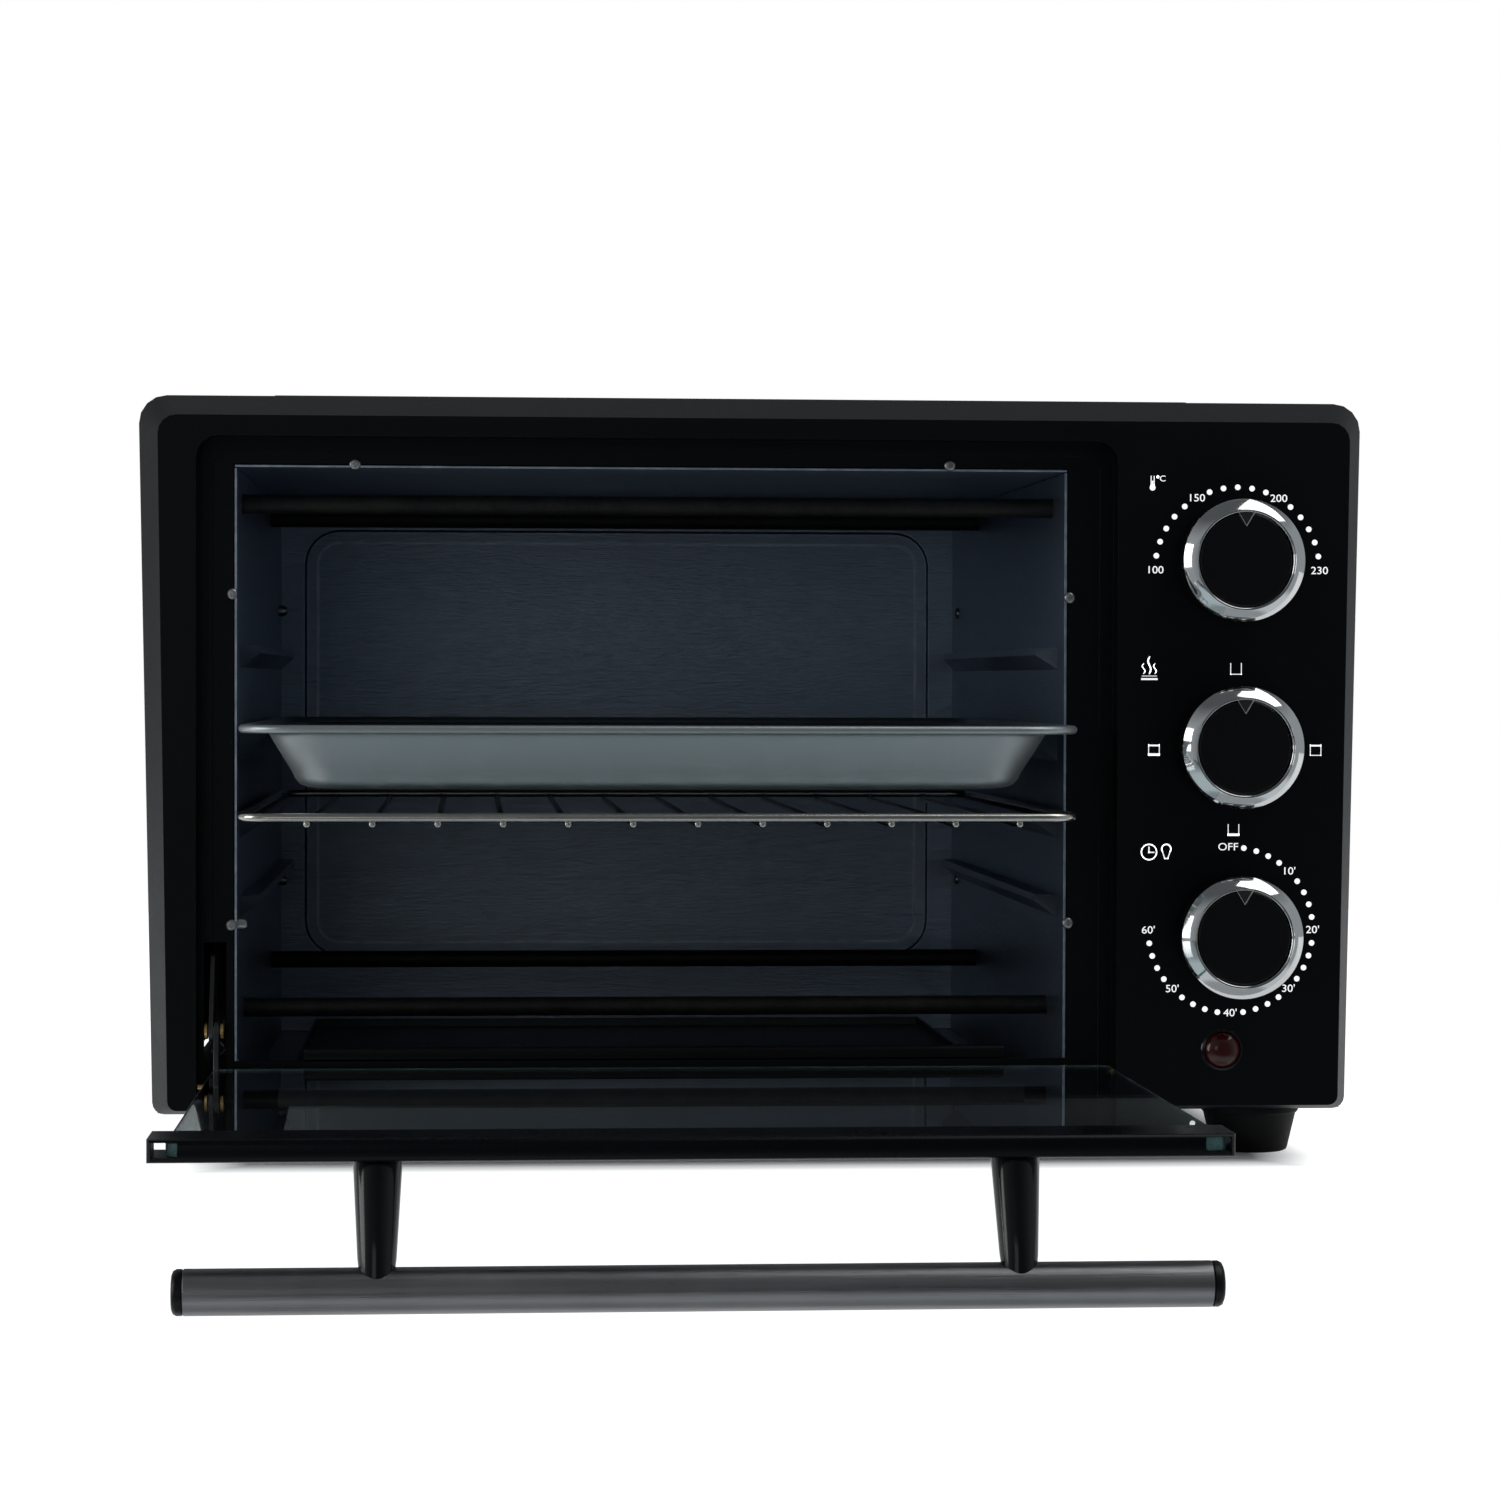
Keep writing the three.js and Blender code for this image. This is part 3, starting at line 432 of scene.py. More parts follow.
def outlineLoop(bm, left, right, front, back, level, radius, segments):
    before = set(bm.faces)
    verts = bmesh.ops.create_grid(bm, x_segments=1, y_segments=1, size=0.5)["verts"]
    spread = Matrix.Diagonal((right - left, back - front, 1, 1))
    move = Matrix.Translation(((left + right) / 2, (front + back) / 2, level))
    bmesh.ops.transform(bm, matrix=move @ spread, verts=verts)
    bmesh.ops.bevel(bm, geom=verts, offset=radius, offset_type="OFFSET", segments=segments, profile=0.5,
                    affect="VERTICES", clamp_overlap=True, material=-1)
    return next(face for face in bm.faces if face not in before)


def looseLoop(bm, *outline):
    face = outlineLoop(bm, *outline)
    edges = list(face.edges)
    bmesh.ops.delete(bm, geom=[face], context="FACES_ONLY")
    return edges


def sweepRod(bm, path, radius, sides=12, closed=False, taper=None):
    path = [Vector(point) for point in path]
    count = len(path)

    def heading(i):
        ahead = path[(i + 1) % count] if closed else path[min(i + 1, count - 1)]
        behind = path[i - 1] if closed else path[max(i - 1, 0)]
        return (ahead - behind).normalized()

    ring = bmesh.ops.create_circle(bm, cap_ends=not closed, segments=sides, radius=radius)["verts"]
    first = edgesRound(ring)
    start = Vector((0, 0, 1)).rotation_difference(heading(0)).to_matrix().to_4x4()
    scale = Matrix.Scale(taper[0], 4) if taper else Matrix.Identity(4)
    bmesh.ops.transform(bm, matrix=Matrix.Translation(path[0]) @ start @ scale, verts=ring)
    edges = first
    for i in range(1, count):
        made = bmesh.ops.extrude_edge_only(bm, edges=edges)["geom"]
        verts = vertsIn(made)
        bend = heading(i - 1).rotation_difference(heading(i)).to_matrix().to_4x4()
        scale = Matrix.Scale(taper[i] / taper[i - 1], 4) if taper else Matrix.Identity(4)
        step = Matrix.Translation(path[i]) @ bend @ scale @ Matrix.Translation(-path[i - 1])
        bmesh.ops.transform(bm, matrix=step, verts=verts)
        edges = edgesAmong(made, verts)
    if closed:
        bmesh.ops.bridge_loops(bm, edges=first + edges)
    else:
        bmesh.ops.holes_fill(bm, edges=edges, sides=sides)


def arcPoints(centre, radius, start, end, steps):
    turns = [math.radians(start + (end - start) * i / steps) for i in range(steps + 1)]
    return [(centre[0] + radius * math.cos(a), centre[1] + radius * math.sin(a)) for a in turns]


copying = {"weld": 1e-6, "flat": 0.6, "edge": 30}  # metres, then degrees


def softCopy(name, node, finish, width, segments):
    bm = bmesh.new()
    bm.from_mesh(frame["nodes"][node].data)
    bmesh.ops.remove_doubles(bm, verts=bm.verts, dist=copying["weld"])
    bmesh.ops.dissolve_limit(bm, angle_limit=math.radians(copying["flat"]), use_dissolve_boundaries=False,
                             verts=bm.verts, edges=bm.edges, delimit=set())
    bm.transform(ovenFrame.inverted())
    piece = addPiece(name, bm, finish, bodyOf(node), [node])
    bevel = piece.modifiers.new("roundedEdges", "BEVEL")
    bevel.width = width * mm
    bevel.segments = segments
    bevel.limit_method = "ANGLE"
    bevel.angle_limit = math.radians(copying["edge"])
    bevel.harden_normals = True
    bevel.use_clamp_overlap = True


# pressed and moulded sheets: the node copied, its finish, its edges' rounding and its steps

sheets = {
    "bezelMoulding": ("front_bezel", "bezelBlack", 0.8, 3),
    "housingSheet": ("housing_wrap", "casingBlack", 0.25, 2),
    "rearCoverSheet": ("rear_cover", "casingBlack", 0.25, 2),
    "leftLiner": ("cavity_left_wall", "linerSteel", 0.2, 2),
    "rightLiner": ("cavity_right_wall", "linerSteel", 0.2, 2),
    "ceilingLiner": ("cavity_ceiling", "linerSteel", 0.2, 2),
    "backLiner": ("cavity_back_panel", "backSteel", 1.0, 3),
    "sillStrip": ("sill_strip", "satinPlastic", 0.5, 2),
    "crumbDrawer": ("crumb_tray", "darkTray", 0.2, 2),
    "doorChannel": ("door_top_channel", "channelBlack", 0.3, 2),
    "hingeRail": ("door_hinge_rail", "channelBlack", 0.3, 2),
    "hingeLever": ("door_hinge_lever", "hingeSteel", 0.2, 2),
    "stayLink": ("door_stay_link", "hingeSteel", 0.2, 2),
    "stayRivet": ("door_stay_rivet", "brass", 0.25, 3),
    "leftPin": ("left_hinge_pin", "brass", 0.15, 2),
    "rightPin": ("right_hinge_pin", "brass", 0.15, 2),
}
for name, (node, finish, width, segments) in sheets.items():
    softCopy(name, node, finish, width, segments)

hiddenParts = {
    "zincSheet": ["bottom_plate", "control_mounting_plate", "timer", "temperature_shaft", "function_shaft",
                  "timer_shaft"],
    "ceramic": ["upper_left_rod_holder", "upper_right_rod_holder", "lower_left_rod_holder",
                "lower_right_rod_holder", "thermostat", "function_switch", "terminal_block"],
    "cableSleeve": ["wiring_loom"],
    "glossPlastic": ["pilot_lamp_body"],
}
for finish, nodes in hiddenParts.items():
    for node in nodes:
        mesh = frame["nodes"][node].data
        mesh.materials.clear()
        mesh.materials.append(finishes[finish])
print("casing, liner and hinge finished")

# tray

tray = {"left": -165.7, "right": 99.4, "front": -44, "back": 246, "rim": 140.5, "bead": 0.95,
        "floor": 122.9, "lip": 9.7, "draft": 9.4, "wall": 0.8, "steps": 10, "flatOver": 20000}
trayCorner = {"rim": 20, "tight": 4, "lip": 18, "narrowing": 0.45, "floor": 9}
# offsets of the section's points: from the lip's inner end and the rim, then from the slope's foot
# and the floor
trayShoulder = [(-2.6, 0), (-1.6, 0.1), (-0.6, -0.3), (0.1, -1.2), (0.9, -2.7), (1.35, -3.55)]
trayToe = [(-2.85, 5.45), (-2.4, 4.6), (-1.7, 2.9), (-0.3, 1.2), (1.8, 0.3), (4.4, 0), (6, 0)]


def trayRadius(inset):  # of the corners, at a place inward from the rim
    if inset < tray["lip"] - 3:
        return trayCorner["rim"] - min(inset, trayCorner["tight"])
    narrowed = trayCorner["lip"] - (inset - tray["lip"]) * trayCorner["narrowing"]
    return max(narrowed, trayCorner["floor"])


def makeTray():
    bm = bmesh.new()
    rim, floor, bead, lip = tray["rim"], tray["floor"], tray["bead"], tray["lip"]
    foot = lip + tray["draft"]
    section = arcPoints((bead + 0.25, rim + bead), bead, -60, -300, 8) + [(2.6, rim)]
    section += [(lip + inset, rim + rise) for inset, rise in trayShoulder]
    section += [(foot + inset, floor + rise) for inset, rise in trayToe]
    loops = [looseLoop(bm, tray["left"] + inset, tray["right"] - inset, tray["front"] + inset,
                       tray["back"] - inset, level, trayRadius(inset), tray["steps"])
             for inset, level in section]
    for outer, inner in zip(loops, loops[1:]):
        bmesh.ops.bridge_loops(bm, edges=outer + inner)
    bmesh.ops.holes_fill(bm, edges=loops[-1], sides=0)
    bmesh.ops.remove_doubles(bm, verts=bm.verts, dist=weld)
    piece = addPiece("bakingTray", bm, "trayMetal", "tray", ["baking_tray"], smooth=50,
                     flatOver=tray["flatOver"])
    wall = piece.modifiers.new("wall", "SOLIDIFY")
    wall.thickness = tray["wall"] * mm
    wall.offset = 0


makeTray()

# rack

rack = {"left": -165.97, "right": 99.03, "front": -38.8, "back": 230, "z": 113.9, "rod": 1.4, "wire": 1.1,
        "corner": 9, "count": 12, "first": -143.9, "last": 79.5, "sunk": 0.45}
wireEnd = [(0.9, 0.35), (0.75, 0.8), (0.4, 1)]  # past the frame, and the share of thickness


def makeRack():
    bm = bmesh.new()
    rod, wire, level, bend = rack["rod"], rack["wire"], rack["z"], rack["corner"]
    left, right = rack["left"] + rod, rack["right"] - rod
    front, back = rack["front"] + rod, rack["back"] - rod
    loop = []
    for x, y, start in ((right - bend, back - bend, 0), (left + bend, back - bend, 90),
                        (left + bend, front + bend, 180), (right - bend, front + bend, 270)):
        loop += [(px, py, level) for px, py in arcPoints((x, y), bend, start, start + 90, 8)]
    sweepRod(bm, loop, rod, sides=16, closed=True)
    pitch = (rack["last"] - rack["first"]) / (rack["count"] - 1)
    low = level - rod - wire + rack["sunk"]
    ends = [(front - past, share) for past, share in wireEnd]
    ends += [(back + past, share) for past, share in reversed(wireEnd)]
    for i in range(rack["count"]):
        x = rack["first"] + pitch * i
        sweepRod(bm, [(x, y, low) for y, _ in ends], wire, taper=[share for _, share in ends])
    addPiece("wireRack", bm, "nickelWire", "rack", ["wire_rack"], smooth=45)


makeRack()

# heating rods

rods = {"upper_front": (39.3, 214.7), "upper_rear": (228, 217.7), "lower_front": (49.6, 47.7),
        "lower_rear": (232, 50.7)}
rodSize = {"left": -173.65, "right": 106.05, "radius": 3.15, "collar": 2.6, "stud": 1.6}


def makeRods():
    for place, (y, z) in rods.items():
        bm = bmesh.new()
        half = [(0, 0), (rodSize["stud"], 0), (rodSize["stud"], 1.2), (rodSize["collar"], 1.2),
                (rodSize["radius"], 2)]
        line = [(radius, rodSize["left"] + along) for radius, along in half]
        line += [(radius, rodSize["right"] - along) for radius, along in reversed(half)]
        turn(bm, line, (0, y, z), axis=(1, 0, 0), steps=32)
        bevelEdges(bm, sharpEdges(bm), 0.2, 2)
        name = "".join(word.capitalize() for word in place.split("_"))
        addPiece("rod" + name, bm, "rodSheath", "casing", ["heating_rod_" + place])


makeRods()
print("tray, rack and rods made")

# dials

knobs = {"temperature": 195.9, "function": 135.7, "timer": 74.5}
knobX = 154.7
cornersOver = 35  # degrees
knobLine = [(0, -20.15), (9, -20.2), (14.9, -20.4), (14.9, -19.4), (15.3, -16.6), (18.9, -16.6),
            (19.3, -2.4), (18.7, -1.2), (3.3, -1.2), (3.3, -12), (0, -12)]
ringLine = [(15.35, -20.75), (15.6, -21.05), (15.85, -20.75), (16.1, -21.4), (19.75, -17.85),
            (19.75, -16.9), (15.35, -16.9), (15.35, -20.75)]
pointer = {"tip": 10.7, "base": 15.9, "half": 3.1, "frame": 0.5, "front": -21.2, "back": -20.3,
           "sunk": 0.45}


def makeKnob(name, level):
    body = name + "_control"
    centre = (knobX, 0, level)
    bm = bmesh.new()
    turn(bm, knobLine, centre, steps=96)
    bevelEdges(bm, sharpEdges(bm, cornersOver), 0.35, 3)
    addPiece(name + "Knob", bm, "glossPlastic", body, [name + "_knob"])
    bm = bmesh.new()
    turn(bm, ringLine, centre, steps=120)
    bevelEdges(bm, sharpEdges(bm, cornersOver), 0.1, 2)
    half, foot = pointer["half"], pointer["base"]
    corners = [(0, pointer["tip"]), (half, foot), (-half, foot)]
    verts = [bm.verts.new((knobX + x, pointer["back"], level + z)) for x, z in corners]
    plate = bm.faces.new(verts)
    sides = bmesh.ops.extrude_face_region(bm, geom=[plate])["geom"]
    front = next(item for item in sides if isinstance(item, bmesh.types.BMFace))
    bmesh.ops.translate(bm, vec=(0, pointer["front"] - pointer["back"], 0), verts=front.verts)
    outline = bmesh.ops.inset_region(bm, faces=[front], thickness=pointer["frame"], depth=0)["faces"]
    for face in outline:
        face.material_index = 2
    bmesh.ops.translate(bm, vec=(0, pointer["sunk"], 0), verts=front.verts)
    front.material_index = 1
    addPiece(name + "KnobRing", bm, "chrome", body, [name + "_knob_ring"],
             others=["darkRecess", "silverLine"])


for name, level in knobs.items():
    makeKnob(name, level)

# pilot lamp

lamp = {"x": 151.6, "z": 36.8}
lensLine = [(0, -3), (2, -2.9), (3.6, -2.4), (4.9, -1.5), (5.7, -0.4), (5.95, 0.6), (5.95, 2), (0, 2)]
collarLine = [(6.0, -0.5), (6.7, -0.35), (7.0, 0.0), (6.9, 0.25), (6.0, 0.25), (6.0, -0.5)]


def makeLamp():
    bm = bmesh.new()
    turn(bm, lensLine, (lamp["x"], 0, lamp["z"]))
    addPiece("pilotLens", bm, "redLens", "casing", ["pilot_lamp_lens"])
    bm = bmesh.new()
    turn(bm, collarLine, (lamp["x"], 0, lamp["z"]))
    addPiece("pilotCollar", bm, "glossPlastic", "casing")


makeLamp()
print("controls made")

# printed scales and signs on the panel

prints = {"front": -0.05, "back": 0.03, "dot": 0.92, "ring": 27.1, "digits": 3.45, "stroke": 0.42,
          "widen": 1.12}
scales = {  # dots and labels at their angles in degrees, clockwise from the top
    "temperature": {"centre": (155.9, 193.1),
                    "dots": [*range(-80, -39, 10), *range(-20, 21, 10), *range(40, 81, 10)],
                    "labels": {-90: "100", -30: "150", 30: "200", 90: "230"}},
    "timer": {"centre": (154.2, 75.9), "dots": [9 * i for i in range(1, 30) if i % 5],
              "labels": {-2: "OFF", 45: "10'", 90: "20'", 135: "30'", 180: "40'", 225: "50'",
                         270: "60'"}},
}


def printBar(bm, start, end, width):
    start, end = Vector((start[0], 0, start[1])), Vector((end[0], 0, end[1]))
    along = (end - start).normalized()
    aside = along.cross(Vector((0, 1, 0))) * width / 2
    low, high = start - along * width / 2, end + along * width / 2
    verts = [bm.verts.new(point + Vector((0, prints["front"], 0)))
             for point in (low - aside, high - aside, high + aside, low + aside)]
    thicken(bm, [bm.faces.new(verts)])


def thicken(bm, faces):
    draw(bm, faces, (0, prints["back"] - prints["front"], 0))


def uprightAt(x, z):
    return Matrix.Translation((x, prints["front"], z)) @ Matrix.Rotation(math.radians(90), 4, "X")


def printDot(bm, x, z, radius):
    ring = bmesh.ops.create_circle(bm, cap_ends=True, segments=20, radius=radius)["verts"]
    bmesh.ops.transform(bm, matrix=uprightAt(x, z), verts=ring)
    thicken(bm, list(ring[0].link_faces))


def printLine(bm, points, width, closed=False):
    for pair in zip(points, points[1:] + points[:1] if closed else points[1:]):
        printBar(bm, *pair, width)


def printRing(bm, x, z, radius, width, sides=28):
    printLine(bm, arcPoints((x, z), radius, 0, 360, sides), width)


def printWords(bm, words, x, z, size):
    curve = bpy.data.curves.new("words", "FONT")
    curve.body = words
    curve.size = size
    curve.align_x, curve.align_y = "CENTER", "CENTER"
    curve.resolution_u = 4
    holder = bpy.data.objects.new("words", curve)
    scene.collection.objects.link(holder)
    bpy.context.view_layer.update()
    flat = bpy.data.meshes.new_from_object(holder.evaluated_get(bpy.context.evaluated_depsgraph_get()))
    bpy.data.objects.remove(holder)
    bpy.data.curves.remove(curve)
    flat.transform(uprightAt(x, z) @ Matrix.Diagonal((prints["widen"], 1, 1, 1)))
    before = set(bm.faces)
    bm.from_mesh(flat)
    bpy.data.meshes.remove(flat)
    letters = [face for face in bm.faces if face not in before]
    outlines = list({vert for face in letters for vert in face.verts})
    bmesh.ops.remove_doubles(bm, verts=outlines, dist=weld)
    thicken(bm, [face for face in bm.faces if face not in before])


def onScale(centre, angle):
    a = math.radians(angle)
    return centre[0] + prints["ring"] * math.sin(a), centre[1] + prints["ring"] * math.cos(a)


def makeScales():
    for name, scale in scales.items():
        bm = bmesh.new()
        for angle in scale["dots"]:
            printDot(bm, *onScale(scale["centre"], angle), prints["dot"])
        for angle, words in scale["labels"].items():
            printWords(bm, words, *onScale(scale["centre"], angle), prints["digits"])
        addPiece(name + "Scale", bm, "glowingPrintWhite", "casing")


signs = {"cavities": {(155.6, 161.1): "", (182.0, 134.7): "top", (155.0, 108.6): "thick",
                      (128.7, 134.7): "top thick"}, "half": 1.75,
         "waves": [(125.2, 3.2, 0.4), (127.1, 5.4, 0.6), (128.9, 3.2, 0.4)], "waveBase": 159.5,
         "clock": (127.2, 101.4), "bulb": (132.9, 102.4), "thermometer": (127.9, 219.9)}


def makeSigns():
    bm = bmesh.new()
    stroke, half = prints["stroke"], signs["half"]
    for (x, z), kind in signs["cavities"].items():
        corners = [(x - half, z + half), (x - half, z - half), (x + half, z - half), (x + half, z + half)]
        printLine(bm, corners, stroke * 0.6)
        if "top" in kind:
            printBar(bm, (x - half + 0.2, z + half - 0.35), (x + half - 0.2, z + half - 0.35), stroke * 1.3)
        if "thick" in kind:
            printBar(bm, (x - half + 0.2, z - half + 0.2), (x + half - 0.2, z - half + 0.2), stroke * 1.9)
    for z, width in ((158.7, 0.2), (157.7, 0.6)):
        printBar(bm, (124.7, z), (129.5, z), width)
    for x, height, width in signs["waves"]:
        wave = [(x + 0.45 * math.sin(2 * math.pi * i / 8), signs["waveBase"] + height * i / 8)
                for i in range(9)]
        printLine(bm, wave, width * 0.75)
    x, z = signs["clock"]
    printRing(bm, x, z, 2.5, 0.35)
    printLine(bm, [(x, z + 1.6), (x, z - 0.1), (x + 1.6, z - 0.1)], 0.4)
    x, z = signs["bulb"]
    socket = [(x - 0.5, z - 3.1), (x + 0.5, z - 3.1)]
    printLine(bm, arcPoints((x, z), 1.5, -30, 210, 14) + socket, 0.35, closed=True)
    x, z = signs["thermometer"]
    printLine(bm, [(x - 0.5, z + 3.7), (x - 0.5, z + 0.7), (x + 0.5, z + 0.7), (x + 0.5, z + 3.7)], 0.3)
    printDot(bm, x, z, 0.95)
    printBar(bm, (x, z), (x, z + 2), 0.5)
    printRing(bm, x + 1.7, z + 3.5, 0.33, 0.22, 12)
    printWords(bm, "C", x + 3.3, z + 2.9, 2.7)
    addPiece("panelSigns", bm, "glowingPrintWhite", "casing")


makeScales()
makeSigns()
print("scales and signs printed")

# door glass and handle

glass = {"left": -174.95, "right": 113.7, "front": -201.4, "rear": -2.5, "low": 28.3, "high": 32.3,
         "corner": 2, "edge": 0.45, "rimOver": 1.2, "flatOver": 5000}
bar = {"left": -173.3, "right": 112.8, "y": -201, "z": -8.2, "radius": 6.36, "cap": 2.9, "joint": 0.15,
       "edge": 0.35, "steps": 96}
capSeat = 0.05
capLine = [(0.02, 1.5), (0.5, 0.55), (1.4, 0.12)]  # in from the radius, back from the end
posts = {"left": -118.2, "right": 56.5, "rootY": -192, "root": 6.8, "tip": 5.2, "top": 26.4, "clear": 0.06}
# each share of the way down, and the share of the width there
postSwell = {0: 0.93, 0.012: 1, 0.35: 1, 0.7: 1, 0.93: 1, 1: 0.97}


def makeGlass():
    bm = bmesh.new()
    face = outlineLoop(bm, glass["left"], glass["right"], glass["front"], glass["rear"], glass["low"],
                       glass["corner"], 6)
    draw(bm, [face], (0, 0, glass["high"] - glass["low"]))
    bevelEdges(bm, sharpEdges(bm, math.degrees(glass["rimOver"])), glass["edge"], 3)
    for face in bm.faces:
        face.normal_update()
        face.material_index = 0 if abs(face.normal.z) > 0.9 else 1
    addPiece("doorGlass", bm, "doorGlass", "door", ["door_glass"], others=["glassEdge"],
             flatOver=glass["flatOver"])


def makeHandle():
    bm = bmesh.new()
    joint, edge, radius = bar["joint"], bar["edge"], bar["radius"]
    left, right = bar["left"] + bar["cap"] + joint, bar["right"] - bar["cap"] - joint
    line = [(0, left), (radius - edge, left), (radius, left + edge), (radius, right - edge),
            (radius - edge, right), (0, right)]
    turn(bm, line, (0, bar["y"], bar["z"]), axis=(1, 0, 0), steps=bar["steps"])
    addPiece("handleBar", bm, "brushedSteel", "door", ["handle_bar"])
    for side, inner, outer in (("left", left, bar["left"]), ("right", right, bar["right"])):
        bm = bmesh.new()
        way = 1 if outer > inner else -1
        seat = inner + way * joint
        line = [(0, seat), (radius - capSeat, seat)]
        line += [(radius - inset, outer - way * back) for inset, back in capLine]
        turn(bm, line + [(0, outer)], (0, bar["y"], bar["z"]), axis=(1, 0, 0), steps=bar["steps"])
        addPiece(side + "BarCap", bm, "satinPlastic", "door", [side + "_handle_cap"], smooth=40)


def makePost(side):
    bm = bmesh.new()
    x = posts[side]
    seat = bar["radius"] + posts["clear"]
    top = posts["top"]
    rings = []
    for share, swell in postSwell.items():
        level = top + (bar["z"] + seat - top) * share
        radius = (posts["root"] + (posts["tip"] - posts["root"]) * share) * swell
        y = posts["rootY"] + (bar["y"] - posts["rootY"]) * share
        ring = bmesh.ops.create_circle(bm, cap_ends=False, segments=48, radius=radius)["verts"]
        bmesh.ops.translate(bm, vec=(x, y, level), verts=ring)
        rings.append(ring)
    for vert in rings[-1]:
        away = vert.co.y - bar["y"]
        vert.co.z = bar["z"] + math.sqrt(seat ** 2 - away ** 2)
    loops = [edgesRound(ring) for ring in rings]
    for upper, lower in zip(loops, loops[1:]):
        bmesh.ops.bridge_loops(bm, edges=upper + lower)
    bmesh.ops.holes_fill(bm, edges=loops[0] + loops[-1], sides=0)
    addPiece(side + "Post", bm, "glossPlastic", "door", [side + "_handle_post"], smooth=40)


makeGlass()
makeHandle()
makePost("left")
makePost("right")
print("door made")

# feet, gland and spring

feet = {"x": 168, "front": 36.6, "rear": 298}
footLine = [(0, 1.2), (7, 1.2), (8, 0.4), (9, 0), (11.4, 0), (12.3, 0.4), (12.7, 1.2), (15.4, 12.6),
            (16.2, 13.4), (16.4, 14.4), (16.3, 15.5), (0, 15.5)]
glandLine = [(0, 318), (6.9, 318), (6.9, 327.6), (9.6, 327.6), (10, 328.2), (9.6, 329.6), (8.6, 333.4),
             (8, 335), (6.9, 335.3), (4.6, 335.3), (4, 334.6), (4, 332.2), (0, 332.2)]
gland = {"x": 165, "z": 48}
spring = {"x": -177, "z": 34, "start": 45, "end": 112.2, "coil": 2.15, "wire": 0.42, "turns": 30, "hook": 6,
          "tip": 0.45, "straight": 2.5, "steps": 12}


def makeFeet():
    for row, y in (("front", feet["front"]), ("rear", feet["rear"])):
        for side, way in (("left", -1), ("right", 1)):
            bm = bmesh.new()
            turn(bm, footLine, (way * feet["x"], y, 0), axis=(0, 0, 1))
            addPiece(row + side.capitalize() + "Foot", bm, "footRubber", "casing", [f"{row}_{side}_foot"])


def makeGland():
    bm = bmesh.new()
    turn(bm, glandLine, (gland["x"], 0, gland["z"]), steps=48)
    addPiece("cordGland", bm, "footRubber", "casing", ["cord_gland"])


def makeSpring():
    bm = bmesh.new()
    low, high = spring["start"] + spring["hook"], spring["end"] - spring["hook"]
    steps = spring["turns"] * spring["steps"]
    tails = (spring["tip"], spring["tip"] + spring["straight"])
    path = [(spring["x"], spring["start"] + tail, spring["z"]) for tail in tails]
    for i in range(steps + 1):
        a = 2 * math.pi * i / spring["steps"]
        path.append((spring["x"] + spring["coil"] * math.cos(a), low + (high - low) * i / steps,
                     spring["z"] + spring["coil"] * math.sin(a)))
    path += [(spring["x"], spring["end"] - tail, spring["z"]) for tail in reversed(tails)]
    sweepRod(bm, path, spring["wire"], sides=8)
    addPiece("doorSpring", bm, "zincSheet", "casing", ["door_spring"], smooth=50)


makeFeet()
makeGland()
makeSpring()

# screw heads

screws = {
    "linerScrews": {"finish": "zincSheet", "radius": 1.9, "depth": 1.2, "facing": (0, -1, 0), "at": [
        (-130.4, 10.3, 226.4), (62.8, 10.3, 227.2), (-169.9, 10.3, 184.4), (-170.2, 10.3, 77.6),
        (102.4, 10.3, 184.2), (102.2, 10.3, 77.7)]},
    "wallBolts": {"finish": "zincSheet", "radius": 2.2, "depth": 3.2, "facing": (1, 0, 0), "at": [
        (-168.3, 15, 77.6), (-168.3, 288, 184), (-168.3, 288, 78)]},
    "rightWallBolts": {"finish": "zincSheet", "radius": 2, "depth": 1.4, "facing": (-1, 0, 0), "at": [
        (100.7, 288, 184), (100.7, 288, 78)]},
    "rearScrews": {"finish": "darkRecess", "radius": 3.2, "depth": 1.7, "facing": (0, 1, 0), "at": [
        (x, 327.3, z) for x, z in ((-186, 236), (0, 238), (186, 236), (-184, 128), (184, 128), (-182, 30),
                                   (-60, 28), (60, 28), (182, 30))]},
}


# shares of a head's radius and depth
headLine = [(0, 0), (1, 0), (1, 0.35), (0.92, 0.7), (0.74, 0.93), (0.56, 1)]
recess = {"tip": 0.5, "waist": 0.38, "depth": 0.6, "taper": 0.8}


def screwHead(bm, place, facing, radius, depth):
    line = [(radius * share, depth * rise) for share, rise in headLine]
    part = bmesh.new()
    turn(part, line, (0, 0, 0), axis=(0, 0, 1), steps=24)
    rim = [edge for edge in part.edges if len(edge.link_faces) == 1]
    reach = radius * recess["tip"]
    star = bmesh.ops.create_circle(part, cap_ends=False, segments=8, radius=reach)["verts"]
    for i, vert in enumerate(star):
        vert.co *= 1 if i % 2 else recess["waist"]
        vert.co.z = depth
    cross = edgesRound(star)
    bmesh.ops.bridge_loops(part, edges=rim + cross)
    made = bmesh.ops.extrude_edge_only(part, edges=cross)["geom"]
    verts = vertsIn(made)
    bmesh.ops.translate(part, vec=(0, 0, -depth * recess["depth"]), verts=verts)
    bmesh.ops.scale(part, vec=(recess["taper"], recess["taper"], 1), verts=verts)
    bmesh.ops.holes_fill(part, edges=edgesAmong(made, verts), sides=0)
    turned = Vector((0, 0, 1)).rotation_difference(Vector(facing)).to_matrix().to_4x4()
    part.transform(Matrix.Translation(place) @ turned)
    loose = bpy.data.meshes.new("screw")
    part.to_mesh(loose)
    part.free()
    bm.from_mesh(loose)
    bpy.data.meshes.remove(loose)


for name, spec in screws.items():
    bm = bmesh.new()
    for place in spec["at"]:
        screwHead(bm, place, spec["facing"], spec["radius"], spec["depth"])
    addPiece(name, bm, spec["finish"], "casing")
print("feet, spring and screws made")

# counter, light and air

stage = {"front": 16, "back": 1400, "half": 1600, "depth": 700, "round": 3}
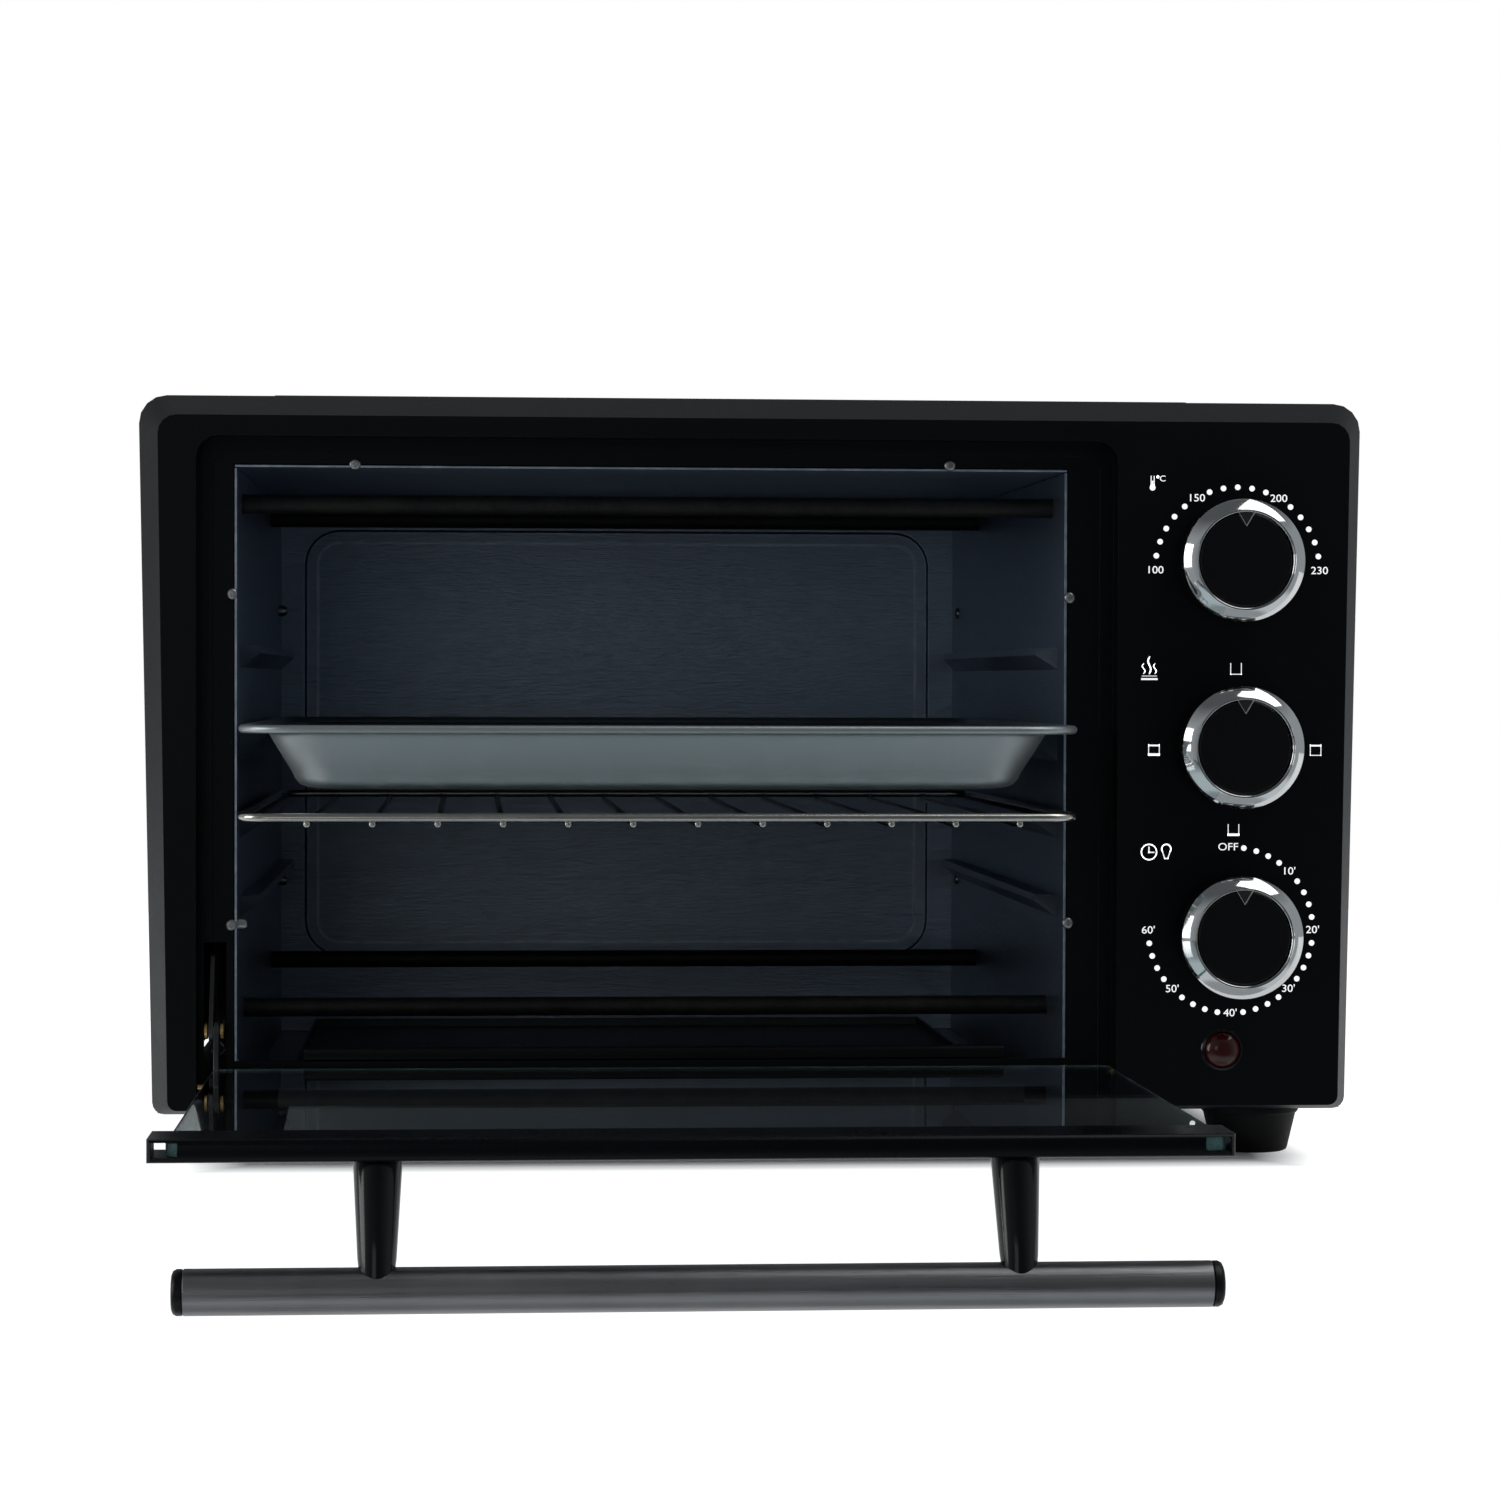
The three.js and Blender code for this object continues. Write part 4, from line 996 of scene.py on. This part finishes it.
# the counter glows white but for a painted shadow (a dark patch under the oven), in metres; its front face
# glows too
counterGlowAndShadow = {"dark": 0.02, "bright": 0.88, "aside": (0.165, 0.186), "behind": (0.25, 0.29),
               "below": (0.004, 0.001), "toOthers": 0.5}
lights = {
    "leftLight": {"place": (-1700, -260, 420), "aim": (150, 0, 120), "size": 0.9, "power": 7},
    "topLight": {"place": (950, -330, 1700), "aim": (100, 0, 120), "size": 1.25, "power": 10},
    "frontLight": {"place": (-700, -2300, 260), "aim": (0, 150, 120), "size": 0.8, "power": 1.2},
}
# how strongly the air shines from each side, and the directions between which that changes
air = {"ahead": 0.085, "side": 0.34, "above": 0.1, "behind": 0.3, "floor": 0.62, "under": 0.05,
       "sideRise": (-0.95, -0.4), "aboveRise": (0.45, 0.8), "behindRise": (0.0, 0.4),
       "rightFall": (0.0, 0.5), "rightShare": 0.4, "floorRise": (-0.3, -0.55), "underFall": (-0.82, -0.95)}


def makeStage():
    bm = bmesh.new()
    corner = bmesh.ops.create_cube(bm, size=1)["verts"]
    spread = Matrix.Diagonal((2 * stage["half"], stage["back"] - stage["front"], stage["depth"], 1))
    move = Matrix.Translation((0, (stage["front"] + stage["back"]) / 2, -stage["depth"] / 2))
    bmesh.ops.transform(bm, matrix=move @ spread, verts=corner)
    bevelEdges(bm, list(bm.edges), stage["round"], 4)
    bm.transform(ovenFrame)
    mesh = bpy.data.meshes.new("counter")
    bm.to_mesh(mesh)
    bm.free()
    material = bpy.data.materials.new("counterWhiteWithShadow")
    material.use_nodes = True
    shader = material.node_tree.nodes["Principled BSDF"]
    shader.inputs["Base Color"].default_value = (0.9, 0.9, 0.9, 1)
    shader.inputs["Roughness"].default_value = 0.8
    shader.inputs["Emission Color"].default_value = (1, 1, 1, 1)
    tree = material.node_tree
    split = tree.nodes.new("ShaderNodeSeparateXYZ")
    tree.links.new(tree.nodes.new("ShaderNodeTexCoord").outputs["Object"], split.inputs[0])
    # painted shadow: the glow falls to its lowest level on the counter's top under the oven, where it would
    # lie in shade
    dark, bright = counterGlowAndShadow["dark"], counterGlowAndShadow["bright"]
    aside = mathNode(tree, "ABSOLUTE", split.outputs["X"])
    glowAndShadow = rangeNode(tree, aside, *counterGlowAndShadow["aside"], dark, bright)
    behind = rangeNode(tree, split.outputs["Y"], *counterGlowAndShadow["behind"], dark, bright)
    glowAndShadow = mathNode(tree, "MAXIMUM", glowAndShadow, behind)
    levels = [footZ - drop for drop in counterGlowAndShadow["below"]]
    low = rangeNode(tree, split.outputs["Z"], *levels, bright, dark)
    glowAndShadow = mathNode(tree, "MAXIMUM", glowAndShadow, low)
    seen = tree.nodes.new("ShaderNodeLightPath").outputs["Is Camera Ray"]
    share = rangeNode(tree, seen, 0.0, 1.0, counterGlowAndShadow["toOthers"], 1.0)
    tree.links.new(mathNode(tree, "MULTIPLY", glowAndShadow, share), shader.inputs["Emission Strength"])
    mesh.materials.append(material)
    counter = bpy.data.objects.new("counter", mesh)
    scene.collection.objects.link(counter)


def makeLights():
    for name, spec in lights.items():
        lightData = bpy.data.lights.new(name, "AREA")
        lightData.shape = "SQUARE"
        lightData.size = spec["size"]
        lightData.energy = spec["power"]
        light = bpy.data.objects.new(name, lightData)
        place = ovenFrame @ Vector(spec["place"])
        aim = ovenFrame @ Vector(spec["aim"])
        light.location = place
        light.rotation_euler = (aim - place).to_track_quat("-Z", "Y").to_euler()
        scene.collection.objects.link(light)


def makeAir():
    world = bpy.data.worlds.new("studio")
    scene.world = world
    world.use_nodes = True
    tree = world.node_tree
    tree.nodes.clear()
    sky = tree.nodes.new("ShaderNodeBackground")
    split = tree.nodes.new("ShaderNodeSeparateXYZ")
    tree.links.new(tree.nodes.new("ShaderNodeTexCoord").outputs["Generated"], split.inputs[0])
    across, height = split.outputs["Y"], split.outputs["Z"]
    side = rangeNode(tree, across, *air["sideRise"], air["ahead"], air["side"])
    above = rangeNode(tree, height, *air["aboveRise"], air["side"], air["above"])
    side = mathNode(tree, "MINIMUM", side, above)
    behind = rangeNode(tree, across, *air["behindRise"], 0.0, air["behind"])
    right = rangeNode(tree, split.outputs["X"], *air["rightFall"], 1.0, air["rightShare"])
    behind = mathNode(tree, "MULTIPLY", behind, right)
    floor = rangeNode(tree, height, *air["floorRise"], 0.0, air["floor"])
    under = rangeNode(tree, height, *air["underFall"], air["floor"], air["under"])
    floor = mathNode(tree, "MINIMUM", floor, under)
    shade = mathNode(tree, "MAXIMUM", mathNode(tree, "MAXIMUM", side, behind), floor)
    tree.links.new(shade, sky.inputs["Strength"])
    white = tree.nodes.new("ShaderNodeBackground")
    white.inputs["Strength"].default_value = 1.0
    mix = tree.nodes.new("ShaderNodeMixShader")
    tree.links.new(tree.nodes.new("ShaderNodeLightPath").outputs["Is Camera Ray"], mix.inputs[0])
    tree.links.new(sky.outputs[0], mix.inputs[1])
    tree.links.new(white.outputs[0], mix.inputs[2])
    tree.links.new(mix.outputs[0], tree.nodes.new("ShaderNodeOutputWorld").inputs["Surface"])
    sky.inputs["Color"].default_value = (0.9, 0.96, 1, 1)
    white.inputs["Color"].default_value = (1, 1, 1, 1)


makeStage()
makeLights()
makeAir()
scene.view_settings.view_transform = "Standard"
print("stage lit")
